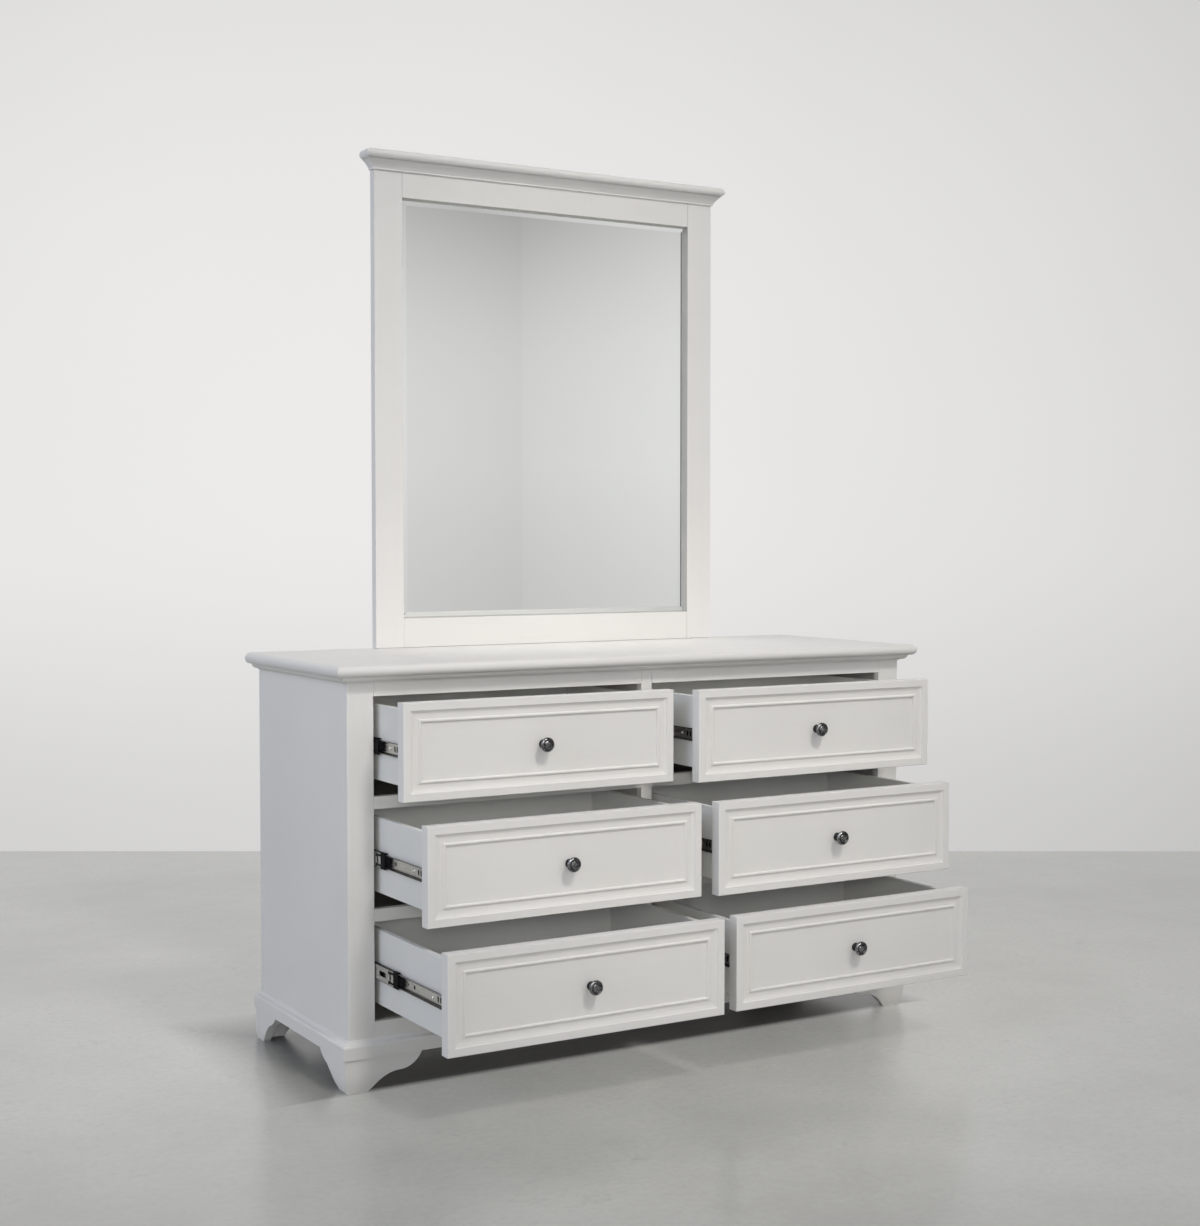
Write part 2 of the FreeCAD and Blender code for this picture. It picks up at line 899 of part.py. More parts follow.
def crown_section():
    """Hollow that rises from a small fillet to the crown board."""
    low = mirror_frame_top - crown_mould_height
    foot = (crown_mould_foot_reach, low + crown_mould_fillet)
    return (
        (0.0, low),
        [
            (crown_mould_foot_reach, low),
            foot,
            bowed(foot, (crown_mould_reach, mirror_frame_top), crown_hollow_depth),
            (0.0, mirror_frame_top),
        ],
    )


def mirror_crown():
    board = nosed_slab(
        mirror_half_width + crown_overhang,
        mirror_front - crown_overhang,
        carcass_depth,
        mirror_frame_top,
        mirror_frame_top + crown_thickness,
    )
    section = crown_section()
    reach = crown_mould_reach
    return [board] + mitred_surround(section, mirror_half_width, reach, mirror_front, carcass_depth)


def mirror_post(side):
    middle = side * post_middle
    half = post_width / 2
    back = carcass_depth + post_thickness
    return box(middle - half, middle + half, carcass_depth, back, post_bottom, post_top)


def stood(pieces):
    """Pieces of the mirror, drawn round the middle and moved to where it stands."""
    return [piece.translated(FreeCAD.Vector(mirror_offset, 0, 0)) for piece in pieces]


# ---- writing the nodes ----
os.makedirs("parts", exist_ok=True)

write("top_board", [top_board()])
write("bed_moulding", bed_moulding())
write("side_panel_left", [side_panel(-1)])
write("side_panel_right", [side_panel(1)])
write("bottom_board", [bottom_board()])
write("centre_partition", [centre_partition()])
write("back_panel", [back_panel()])
write("inner_rails", inner_rails())
write("stile_left", [outer_stile(-1)])
write("stile_right", [outer_stile(1)])
write("stile_centre", [centre_stile()])
write("frame_rails", frame_rails())
write("base_moulding", base_moulding())
write("foot_front_left", front_foot(-1))
write("foot_front_right", front_foot(1))
write("foot_rear_left", rear_foot(-1))
write("foot_rear_right", rear_foot(1))
write("mirror_frame", stood(mirror_frame()))
write("mirror_glass", stood([mirror_glass()]))
write("mirror_backboard", stood([mirror_backboard()]))
write("mirror_crown", stood(mirror_crown()))
write("mirror_posts", stood([mirror_post(-1), mirror_post(1)]))

cabinet_rails = []
for bay in drawer_bays:
    places = slide_places(bay)
    cabinet_rails += [cabinet_rail(place) for place in places]
    runner_front = rail_start + bay["lag"] - bay["open"] / 2
    runners = []
    for place in places:
        runners += runner(place, runner_front)
    write("drawer_front_" + bay["name"], [drawer_front(bay)])
    write("drawer_box_" + bay["name"], drawer_box(bay))
    write("drawer_floor_" + bay["name"], [drawer_floor(bay)])
    write("knob_" + bay["name"], [knob(bay)])
    drawer_rails = [drawer_rail(place, -bay["open"]) for place in places]
    write("slide_drawer_rails_" + bay["name"], drawer_rails)
    write("slide_runners_" + bay["name"], runners)
write("slide_cabinet_rails", cabinet_rails)
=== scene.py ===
import json
import math
import bmesh
import bpy
from mathutils import Matrix, Vector

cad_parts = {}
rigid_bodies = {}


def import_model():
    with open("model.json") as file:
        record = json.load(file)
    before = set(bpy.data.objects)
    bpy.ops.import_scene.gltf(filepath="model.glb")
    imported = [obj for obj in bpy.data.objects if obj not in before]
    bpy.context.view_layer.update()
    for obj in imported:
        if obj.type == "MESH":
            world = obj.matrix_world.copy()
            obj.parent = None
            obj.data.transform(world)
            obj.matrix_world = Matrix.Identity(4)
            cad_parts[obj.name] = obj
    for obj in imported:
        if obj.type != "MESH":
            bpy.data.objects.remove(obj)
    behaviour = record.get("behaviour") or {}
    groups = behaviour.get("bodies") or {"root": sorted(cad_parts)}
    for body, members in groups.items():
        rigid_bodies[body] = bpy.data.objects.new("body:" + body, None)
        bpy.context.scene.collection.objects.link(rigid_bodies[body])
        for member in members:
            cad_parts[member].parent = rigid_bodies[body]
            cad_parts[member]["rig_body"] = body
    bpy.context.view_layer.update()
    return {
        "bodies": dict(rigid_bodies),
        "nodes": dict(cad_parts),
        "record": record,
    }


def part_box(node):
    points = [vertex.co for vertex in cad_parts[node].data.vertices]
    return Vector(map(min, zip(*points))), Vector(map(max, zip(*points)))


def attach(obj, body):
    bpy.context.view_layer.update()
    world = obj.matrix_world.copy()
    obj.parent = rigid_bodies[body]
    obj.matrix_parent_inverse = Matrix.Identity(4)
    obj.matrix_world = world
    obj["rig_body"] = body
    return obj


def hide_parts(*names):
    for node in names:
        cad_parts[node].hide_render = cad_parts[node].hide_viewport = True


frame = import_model()
scene = bpy.context.scene
scene.view_settings.view_transform = "Standard"
bays = [body[len("drawer_"):] for body in frame["bodies"] if body.startswith("drawer_")]
print("frame loaded,", len(frame["nodes"]), "nodes")


# Small helpers for meshes and node trees

def middleOf(nodeName):
    low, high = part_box(nodeName)
    return (low + high) / 2, low, high


def addObject(name, data):
    made = bpy.data.objects.new(name, data)
    scene.collection.objects.link(made)
    return made


def addPiece(name, mesh, materials, body, slotName, *stoodFor):
    piece = addObject(name, mesh)
    # clearing the materials resets the faces' numbers, so these are put back
    numbers = [0] * len(mesh.polygons)
    mesh.polygons.foreach_get("material_index", numbers)
    mesh.materials.clear()
    for material in materials:
        mesh.materials.append(material)
    mesh.polygons.foreach_set("material_index", numbers)
    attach(piece, body)
    if stoodFor:
        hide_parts(*stoodFor)


def meshFrom(name, shape, smooth=True):
    mesh = bpy.data.meshes.new(name)
    shape.to_mesh(mesh)
    shape.free()
    if smooth:
        mesh.shade_smooth()
    return mesh


def addMesh(whole, part):
    # adds one bmesh to another and frees it
    mesh = bpy.data.meshes.new("part")
    part.to_mesh(mesh)
    part.free()
    whole.from_mesh(mesh)
    bpy.data.meshes.remove(mesh)


def joinMeshes(name, parts):
    # each part is a mesh, its place, and what is added to its material numbers
    whole = bmesh.new()
    for mesh, place, number in parts:
        copy = bmesh.new()
        copy.from_mesh(mesh)
        copy.transform(place)
        if place.determinant() < 0:
            bmesh.ops.reverse_faces(copy, faces=copy.faces)
        for face in copy.faces:
            face.material_index += number
        addMesh(whole, copy)
    return meshFrom(name, whole)


def circle(radius, count, ahead=0.0):
    angles = [2 * math.pi * (step + ahead) / count for step in range(count)]
    return [(radius * math.cos(angle), radius * math.sin(angle)) for angle in angles]


def pairs(loop):
    return zip(loop, loop[1:] + loop[:1])


def bridge(shape, near, far):
    # faces between two rings, or up to the one corner of the second
    for step, here in enumerate(near):
        after = (step + 1) % len(near)
        ends = (far[after], far[step]) if len(far) > 1 else far
        shape.faces.new((here, near[after], *ends))


def closed(name, shape, smooth=True):
    bmesh.ops.recalc_face_normals(shape, faces=shape.faces)
    return meshFrom(name, shape, smooth)


def fillBetween(shape, loops):
    # one flat sheet inside the first loop, with a hole for each of the others
    edges = []
    for loop in loops:
        for start, end in pairs(loop):
            edges.append(shape.edges.get((start, end)) or shape.edges.new((start, end)))
    bmesh.ops.triangle_fill(shape, use_beauty=True, use_dissolve=False, edges=edges)


def finished(name, mesh, modifiers):
    # the mesh with its modifiers applied; a node tree's inputs go by socket identifier
    holder = addObject("holder", mesh)
    for kind, settings in modifiers:
        modifier = holder.modifiers.new(kind.lower(), kind)
        for key, value in settings.items():
            if hasattr(modifier, key):
                setattr(modifier, key, value)
            else:
                modifier[key] = value
    evaluated = holder.evaluated_get(bpy.context.evaluated_depsgraph_get())
    made = bpy.data.meshes.new_from_object(evaluated)
    holder.modifiers.clear()
    bpy.data.objects.remove(holder)
    made.name = name
    return made


def grow(baseMesh, group, values):
    # what a Geometry Nodes tree makes of a base mesh
    tree, sockets = group
    inputs = {sockets[label]: value for label, value in values.items()}
    return finished(tree.name, baseMesh, [("NODES", {"node_group": tree, **inputs})])


def addNode(tree, kind, inputs=None, **settings):
    node = tree.nodes.new(kind)
    for key, value in settings.items():
        setattr(node, key, value)
    for key, value in (inputs or {}).items():
        socket = node.inputs[key]
        if isinstance(value, bpy.types.NodeSocket):
            tree.links.new(value, socket)
        else:
            # colours are written without their alpha
            socket.default_value = (*value, 1.0) if socket.type == "RGBA" else value
    return node


def newMaterial(name, **plain):
    material = bpy.data.materials.new(name)
    material.use_nodes = True
    shader = material.node_tree.nodes["Principled BSDF"]
    for label, value in plain.items():
        shader.inputs[label.replace("_", " ")].default_value = value
    return material, material.node_tree, shader


def feed(node, **sources):
    for label, source in sources.items():
        node.id_data.links.new(source, node.inputs[label.replace("_", " ")])


def mixColour(tree, factor, first, second, blend="MIX"):
    inputs = {0: factor, 6: first, 7: second}
    return addNode(tree, "ShaderNodeMix", inputs, data_type="RGBA", blend_type=blend).outputs[2]


def mixShaders(tree, factor, first, second):
    inputs = {0: factor, 1: first.outputs[0], 2: second.outputs[0]}
    return addNode(tree, "ShaderNodeMixShader", inputs)


def objectPoint(tree, scale=(1.0, 1.0, 1.0)):
    place = addNode(tree, "ShaderNodeTexCoord").outputs["Object"]
    inputs = {"Vector": place, "Scale": scale}
    return addNode(tree, "ShaderNodeMapping", inputs).outputs["Vector"]


def separate(tree, vector):
    return addNode(tree, "ShaderNodeSeparateXYZ", {0: vector}).outputs


def remap(tree, value, low, high, toLow=0.0, toHigh=1.0, **settings):
    inputs = {"Value": value, "From Min": low, "From Max": high,
              "To Min": toLow, "To Max": toHigh}
    return addNode(tree, "ShaderNodeMapRange", inputs, **settings).outputs["Result"]


def noise(tree, point, texture, ramp=None):
    # a texture is scale, detail and roughness; a ramp is where it starts and ends, and to what
    scale, detail, roughness = texture
    inputs = {"Vector": point, "Scale": scale, "Detail": detail, "Roughness": roughness}
    value = addNode(tree, "ShaderNodeTexNoise", inputs).outputs["Fac"]
    return remap(tree, value, *ramp) if ramp else value


def maths(tree, operation, first, *others):
    for other in others:
        inputs = {0: first, 1: other}
        first = addNode(tree, "ShaderNodeMath", inputs, operation=operation).outputs[0]
    return first


def product(tree, *values):
    return maths(tree, "MULTIPLY", *values)


def addBump(tree, shader, *layers):
    # each layer is a height, its strength and its distance
    normal = None
    for height, strength, distance in layers:
        inputs = {"Height": height, "Strength": strength, "Distance": distance}
        if normal:
            inputs["Normal"] = normal
        normal = addNode(tree, "ShaderNodeBump", inputs).outputs["Normal"]
    feed(shader, Normal=normal)


# Camera

view = {
    "place": (-2.2757, -3.7074, 1.1883), "yaw": 0.536, "pitch": -0.041,
    "focalPixels": 1842.2, "imageHeight": 1226, "sensor": 36.0,
}


def makeCamera():
    data = bpy.data.cameras.new("camera")
    data.sensor_width = view["sensor"]
    data.lens = view["focalPixels"] / view["imageHeight"] * view["sensor"]
    camera = addObject("camera", data)
    camera.location = view["place"]
    camera.rotation_euler = (math.pi / 2 + view["pitch"], 0.0, -view["yaw"])
    scene.camera = camera


# Room: floor, the wall behind the dresser, and what the mirror sees in front of it

floorLook = {
    "radius": 24.0, "segments": 64,
    "dark": (0.487, 0.482, 0.456), "pale": (0.612, 0.607, 0.576), "speck": (0.42, 0.42, 0.40),
    "clouds": ((0.9, 6.0, 0.62), (0.36, 0.64)),
    "marks": ((7.5, 5.0, 0.7), (0.62, 0.74, 0.0, 0.45)),
    "specks": ((60.0, 3.0, 0.7), (0.4, 0.75, 0.0, 0.35)),
    "roughness": (0.3, 0.7, 0.17, 0.29),
    "litShare": 0.45, "bounce": 0.74, "glow": 0.372, "gloss": 0.74,
    "bump": (0.12, 0.0006),
    # edges of a painted shadow under the cabinet, where the glow is left out: axis, sign, and the
    # ramp outwards
    "paintedShadowEdges": [("Y", -1.0, 0.075, 0.105), ("X", -1.0, 0.74, 0.94),
                  ("Y", 1.0, 0.42, 0.67), ("X", 1.0, 0.75, 0.85)],
}


def makeFloorMaterial():
    # polished concrete, which glows a little where the camera sees it, so that shadows stay soft
    look = floorLook
    material, tree, shader = newMaterial("concreteFloor", Specular_IOR_Level=look["gloss"])
    point = objectPoint(tree)
    clouds, cloudRamp = look["clouds"]
    base = mixColour(tree, noise(tree, point, clouds, cloudRamp), look["dark"], look["pale"])
    for key in ("marks", "specks"):
        base = mixColour(tree, noise(tree, point, *look[key]), base, look["speck"])
    rays = addNode(tree, "ShaderNodeLightPath").outputs
    direct = maths(tree, "MAXIMUM", rays["Is Camera Ray"], rays["Is Glossy Ray"])
    dimmed = mixColour(tree, 1.0, base, (look["litShare"],) * 3, "MULTIPLY")
    bounced = mixColour(tree, 1.0, base, (look["bounce"],) * 3, "MULTIPLY")
    # no glow under the cabinet: this leaves a painted shadow there
    parts = separate(tree, point)
    beyondPaintedShadow = [remap(tree, product(tree, parts[label], sign), *ramp)
               for label, sign, *ramp in look["paintedShadowEdges"]]
    beyondPaintedShadow = maths(tree, "MAXIMUM", *beyondPaintedShadow)
    feed(shader, Base_Color=mixColour(tree, direct, bounced, dimmed), Emission_Color=base,
         Emission_Strength=product(tree, beyondPaintedShadow, direct, look["glow"]),
         Roughness=noise(tree, point, clouds, look["roughness"]))
    addBump(tree, shader, (noise(tree, point, look["specks"][0]), *look["bump"]))
    return material


wallLook = {
    "distance": 6.94, "width": 16.0, "height": 7.0,
    "colour": (0.835, 0.827, 0.822),
    # the painted pool of light: its palest spot, how far it reaches each way, and what is lost with
    # the distance squared
    "centre": (-0.9, 1.5), "spread": (3.6, 2.6),
    "fall": (0.0, 1.5, 1.0, 0.7),
    # painted shade towards the floor
    "footFade": (0.0, 1.25, 0.865, 1.0),
    "clouds": ((0.7, 3.0, 0.5), (0.3, 0.7, 0.99, 1.01)),
}


def makeWallMaterial():
    # a painted pool of light round one spot and painted shade towards the floor; seen from behind
    # it is clear
    look = wallLook
    material, tree, shader = newMaterial("paleWall")
    place = separate(tree, addNode(tree, "ShaderNodeUVMap").outputs["UV"])
    away = []
    for label, centre, spread in zip("XY", look["centre"], look["spread"]):
        share = remap(tree, place[label], centre, centre + spread, clamp=False)
        away.append(product(tree, share, share))
    bright = remap(tree, maths(tree, "ADD", *away), *look["fall"])
    fade = remap(tree, place["Y"], *look["footFade"], interpolation_type="SMOOTHSTEP")
    level = product(tree, bright, fade, noise(tree, objectPoint(tree), *look["clouds"]))
    glow = addNode(tree, "ShaderNodeEmission", {"Color": look["colour"], "Strength": level})
    clear = addNode(tree, "ShaderNodeBsdfTransparent")
    behind = addNode(tree, "ShaderNodeNewGeometry").outputs["Backfacing"]
    mix = mixShaders(tree, behind, glow, clear)
    feed(tree.nodes["Material Output"], Surface=mix.outputs[0])
    tree.nodes.remove(shader)
    return material


def makeRoom():
    shape = bmesh.new()
    bmesh.ops.create_circle(shape, cap_ends=True, segments=floorLook["segments"],
                            radius=floorLook["radius"])
    floor = addObject("floor", meshFrom("floor", shape, False))
    floor.data.materials.append(makeFloorMaterial())
    ahead = Vector((math.sin(view["yaw"]), math.cos(view["yaw"]), 0.0))
    side = Vector((ahead.y, -ahead.x, 0.0))
    foot = Vector((*view["place"][:2], 0.0)) + ahead * wallLook["distance"]
    half, top = wallLook["width"] / 2, wallLook["height"]
    # the wall's own map is in metres
    spots = ((-half, 0.0), (half, 0.0), (half, top), (-half, top))
    shape = bmesh.new()
    face = shape.faces.new([
        shape.verts.new(foot + side * across + Vector((0.0, 0.0, up))) for across, up in spots])
    layer = shape.loops.layers.uv.new("metres")
    for loop, spot in zip(face.loops, spots):
        loop[layer].uv = spot
    wall = addObject("wall", meshFrom("wall", shape, False))
    wall.data.materials.append(makeWallMaterial())
    wall.visible_shadow = False
    wall.visible_diffuse = False


studio = {
    "ambient": (0.95, 0.97, 1.01, 1.0),
    # from level to straight up
    "overhead": (0.0, 1.0, 0.71, 0.1136),
    "roomTone": (0.738, 0.738, 0.722),
    # the corner opposite the mirror: where it is, its shade on each side, and the paler right wall
    "cornerAzimuth": 0.494,
    "cornerLeft": (-0.11, 0.0, 0.0, 0.125),
    "cornerRight": (0.0, 0.08, 0.125, 0.0),
    "cornerStep": (-0.001, 0.001, 1.0, 1.03),
    # the way up to the ceiling, where the corner's shade is deeper
    "rise": (0.06, 0.186, 0.0, 1.2), "risePower": 2.3, "riseDeeper": 1.1,
    "ceiling": (0.0, 2.0, 1.0, 0.56),
    "skirt": (0.04, -0.05, 1.0, 0.85),
    "band": (0.27, 0.30, 0.0, 0.23),
    # azimuths at which a darker doorway starts and ends, for the metal
    "doorFrom": (0.65, 0.70), "doorTo": (2.30, 2.50, 1.0, 0.0), "doorDepth": -0.80,
    "softbox": (-0.41, -0.41, 0.81), "softboxEdge": (0.90, 0.94, 0.0, 5.0),
}


def roomLevel(tree, parts, direction):
    # how bright the pale room in front of the dresser is in each direction
    def ramp(value, key):
        return remap(tree, value, *studio[key])

    azimuth = maths(tree, "ARCTAN2", parts["X"], product(tree, parts["Y"], -1.0))
    away = maths(tree, "SUBTRACT", azimuth, studio["cornerAzimuth"])
    rise = maths(tree, "POWER", ramp(parts["Z"], "rise"), studio["risePower"])
    depth = maths(tree, "MINIMUM", ramp(away, "cornerLeft"), ramp(away, "cornerRight"))
    deeper = maths(tree, "ADD", product(tree, rise, studio["riseDeeper"]), 1.0)
    wall = maths(tree, "SUBTRACT", ramp(away, "cornerStep"), product(tree, depth, deeper))
    level = product(tree, wall, ramp(rise, "ceiling"), ramp(parts["Z"], "skirt"))
    level = maths(tree, "ADD", level, ramp(parts["Z"], "band"))
    door = product(tree, ramp(azimuth, "doorFrom"), ramp(azimuth, "doorTo"), studio["doorDepth"])
    level = product(tree, level, maths(tree, "ADD", door, 1.0))
    facing = addNode(tree, "ShaderNodeVectorMath", {0: direction, 1: studio["softbox"]},
                     operation="DOT_PRODUCT").outputs["Value"]
    return maths(tree, "ADD", level, ramp(facing, "softboxEdge"))


def makeWorld():
    # ambient light on the dresser; mirror and metal see a pale room with one corner
    world = bpy.data.worlds.new("studio")
    scene.world = world
    world.use_nodes = True
    tree = world.node_tree
    direction = addNode(tree, "ShaderNodeTexCoord").outputs["Generated"]
    parts = separate(tree, direction)
    ambient = tree.nodes["Background"]
    ambient.inputs["Color"].default_value = studio["ambient"]
    feed(ambient, Strength=remap(tree, parts["Z"], *studio["overhead"]))
    seen = addNode(tree, "ShaderNodeBackground", {
        "Color": studio["roomTone"], "Strength": roomLevel(tree, parts, direction)})
    pale = addNode(tree, "ShaderNodeBackground", {"Color": wallLook["colour"], "Strength": 1.0})
    rays = addNode(tree, "ShaderNodeLightPath").outputs
    clear = maths(tree, "MAXIMUM", rays["Is Camera Ray"], rays["Is Transmission Ray"])
    lit = mixShaders(tree, rays["Is Glossy Ray"], ambient, seen)
    last = mixShaders(tree, clear, lit, pale)
    feed(tree.nodes["World Output"], Surface=last.outputs[0])


# each lamp stands at a distance from the point it aims at; the key is a far spot whose cone
# fades out over the dresser's foot
lamps = [
    {"name": "keyLight", "kind": "SPOT", "from": (0.08, -1.0, 1.15), "distance": 9.0,
     "aim": (0.0, -0.3, 1.50), "radius": 0.72, "cone": 21.5, "fade": 0.80, "power": 1560.0,
     "colour": (1.0, 0.96, 0.895)},
    {"name": "rightLight", "kind": "AREA", "from": (0.75, -1.0, 0.9), "distance": 6.5,
     "aim": (0.0, -0.1, 0.9), "size": (3.0, 3.0), "power": 30.0, "colour": (1.0, 0.98, 0.95),
     "glossy": False},
    {"name": "fillLight", "kind": "SPOT", "from": (-0.53, -0.84, 0.10), "distance": 5.0,
     "aim": (0.05, -0.2, 1.08), "radius": 0.35, "cone": 29.0, "fade": 0.42, "power": 180.0,
     "colour": (1.0, 0.985, 0.95), "glossy": False},
    {"name": "leftLight", "kind": "AREA", "from": (-0.85, -0.15, 0.45), "distance": 6.0,
     "aim": (-0.3, 0.0, 0.8), "size": (3.5, 3.5), "power": 76.0, "colour": (0.82, 0.93, 1.20)},
    {"name": "mirrorBounce", "kind": "AREA", "from": (0.0, 0.5, 0.87), "distance": 0.52,
     "aim": (0.03, -0.02, 0.918), "size": (0.78, 0.10), "power": 0.34,
     "colour": (1.0, 0.98, 0.95), "glossy": False},
]


def makeLamps():
    for lamp in lamps:
        data = bpy.data.lights.new(lamp["name"], lamp["kind"])
        data.energy = lamp["power"]
        data.color = lamp["colour"]
        if lamp["kind"] == "SPOT":
            data.shadow_soft_size = lamp["radius"]
            data.spot_size = math.radians(lamp["cone"])
            data.spot_blend = lamp["fade"]
        else:
            data.shape = "RECTANGLE"
            data.size, data.size_y = lamp["size"]
        holder = addObject(lamp["name"], data)
        back = Vector(lamp["from"]).normalized()
        holder.location = Vector(lamp["aim"]) + back * lamp["distance"]
        holder.rotation_euler = back.to_track_quat("Z", "Y").to_euler()
        holder.visible_camera = False
        holder.visible_glossy = lamp.get("glossy", True)


makeCamera()
makeRoom()
makeWorld()
makeLamps()
print("camera, room and lamps made")


# Painted and plain wood: the grain runs along one axis, and edges carry the attribute rim

paintFeel = {"roughness": (0.46, 0.58), "gloss": 0.30, "bump": 0.07, "grain": 0.35}
boardFeel = {"roughness": (0.5, 0.65), "gloss": 0.3, "bump": 0.3, "grain": 0.9}
# the tones are the colour, its blotches, its warm streaks and its worn edges
finishes = {
    "whitePaint": {**paintFeel, "roughness": (0.42, 0.54), "bump": 0.10, "tones": [
        (0.775, 0.762, 0.738), (0.745, 0.733, 0.710), (0.790, 0.772, 0.742), (0.83, 0.818, 0.795)]},
    # a glossier copy of the white paint, about 4 % darker as painted shade on the top
    "topLacquer": {**paintFeel, "roughness": (0.30, 0.40), "gloss": 0.36, "tones": [
        (0.745, 0.733, 0.710), (0.715, 0.704, 0.682), (0.762, 0.745, 0.716), (0.80, 0.79, 0.768)]},
    "drawerLacquer": {**paintFeel, "grain": 0.45, "tones": [
        (0.735, 0.735, 0.715), (0.70, 0.70, 0.675), (0.755, 0.75, 0.725), (0.80, 0.80, 0.78)]},
    # painted shade: a near-black board for the inner rails and the back's inner face, deep in the
    # carcass
    "shadeBoard": {**boardFeel, "tones": [
        (0.23, 0.215, 0.185), (0.19, 0.178, 0.15), (0.26, 0.235, 0.195), (0.27, 0.25, 0.21)]},
    # painted shade on the edges of the mirror's opening, which also darkens their doubles in the
    # glass
    "lipPaint": {**paintFeel, "gloss": 0.20, "tones": [
        (0.46, 0.45, 0.43), (0.43, 0.42, 0.40), (0.48, 0.466, 0.44), (0.40, 0.39, 0.375)]},
    "innerBoard": {**boardFeel, "tones": [
        (0.62, 0.605, 0.57), (0.54, 0.525, 0.49), (0.66, 0.63, 0.58), (0.64, 0.61, 0.56)]},
    "hardboard": {**boardFeel, "roughness": (0.5, 0.7), "bump": 0.35, "tones": [
        (0.30, 0.21, 0.135), (0.235, 0.16, 0.10), (0.345, 0.245, 0.16), (0.37, 0.275, 0.185)]},
}
grain = {
    "acrossScale": 240.0, "alongScale": 6.0,
    "streaks": (1.0, 4.0, 0.6), "streakRamp": (0.42, 0.72, 0.0), "streakDepth": 0.0003,
    "blotches": ((2.6, 4.0, 0.55), (0.35, 0.65)),
    "wear": ((45.0, 3.0, 0.5), (0.35, 0.6, 0.25)), "wornShine": 0.06,
    "roughRamp": (0.3, 0.7),
    "peel": (850.0, 1.0, 0.5), "peelShare": 0.6, "peelDepth": 0.0001,
}


def makeWood(name, finish, axis):
    stretch = [grain["alongScale" if each == axis else "acrossScale"] for each in "XYZ"]
    material, tree, shader = newMaterial(name + axis, Specular_IOR_Level=finish["gloss"])
    point = objectPoint(tree)
    colour, blotch, warm, worn = finish["tones"]
    streaks = noise(tree, objectPoint(tree, stretch), grain["streaks"])
    tone = mixColour(tree, noise(tree, point, *grain["blotches"]), colour, blotch)
    warmth = remap(tree, streaks, *grain["streakRamp"], finish["grain"])
    tone = mixColour(tree, warmth, tone, warm)
    rim = addNode(tree, "ShaderNodeAttribute", attribute_name="rim").outputs["Fac"]
    wear = product(tree, rim, noise(tree, point, *grain["wear"]))
    rough = remap(tree, streaks, *grain["roughRamp"], *finish["roughness"])
    shine = product(tree, wear, grain["wornShine"])
    feed(shader, Base_Color=mixColour(tree, wear, tone, worn),
         Roughness=maths(tree, "SUBTRACT", rough, shine))
    addBump(tree, shader, (streaks, finish["bump"], grain["streakDepth"]),
            (noise(tree, point, grain["peel"]), finish["bump"] * grain["peelShare"],
             grain["peelDepth"]))
    return material


woods = {name: [makeWood(name, finish, axis) for axis in "XYZ"]
         for name, finish in finishes.items()}

easing = {
    "flatAngle": 0.01, "sharpAngle": 0.42, "steps": 2, "profile": 0.5,
    # width of the rounding by kind of board
    "painted": 0.0006, "front": 0.0004, "inner": 0.0005, "board": 0.0003,
}
feet = ["foot_front_left", "foot_front_right", "foot_rear_left", "foot_rear_right"]
# open joints: what is taken off the ends of boards that lie across, and off top, foot and back,
# where the posts leave room for the heads of their screws
joints = {
    "mirror_frame": (0.0005, 0.0, 0.0007),
    "mirror_crown": (0.0, 0.0006, 0.0),
    "frame_rails": (0.0003, 0.0, 0.0),
    "base_moulding": (0.0, 0.0005, 0.0),
    "mirror_posts": (0.0, 0.0, 0.0, 0.002),
    **{foot: (0.0, 0.0007, 0.0) for foot in feet},
}
jointReach = 0.00001
evenNormals = ("WEIGHTED_NORMAL", {"keep_sharp": True})


def solidsOf(mesh):
    # a node's faces come solid by solid: one is complete when every edge has met its partner
    corner = [tuple(round(value, 6) for value in vertex.co) for vertex in mesh.vertices]
    solids, current, waiting = [], [], {}
    for face in mesh.polygons:
        loop = [corner[index] for index in face.vertices]
        current.append(loop)
        for start, end in pairs(loop):
            if start == end:
                continue
            if waiting.get((end, start)):
                waiting[(end, start)] -= 1
                if not waiting[(end, start)]:
                    del waiting[(end, start)]
            else:
                waiting[(start, end)] = waiting.get((start, end), 0) + 1
        if not waiting:
            solids.append(current)
            current = []
    if current:
        solids.append(current)
    return solids


def spansOf(shape):
    columns = zip(*(vertex.co for vertex in shape.verts))
    return [(min(values), max(values)) for values in columns]


def longestAxis(shape):
    lengths = [high - low for low, high in spansOf(shape)]
    return lengths.index(max(lengths))


def openJoints(shape, ends, top, foot, back=0.0):
    if longestAxis(shape):
        ends = 0.0
    cuts = ((ends, ends), (0.0, back), (foot, top))
    for axis, ((low, high), (atLow, atHigh)) in enumerate(zip(spansOf(shape), cuts)):
        for vertex in shape.verts:
            if vertex.co[axis] < low + jointReach:
                vertex.co[axis] += atLow
            elif vertex.co[axis] > high - jointReach:
                vertex.co[axis] -= atHigh


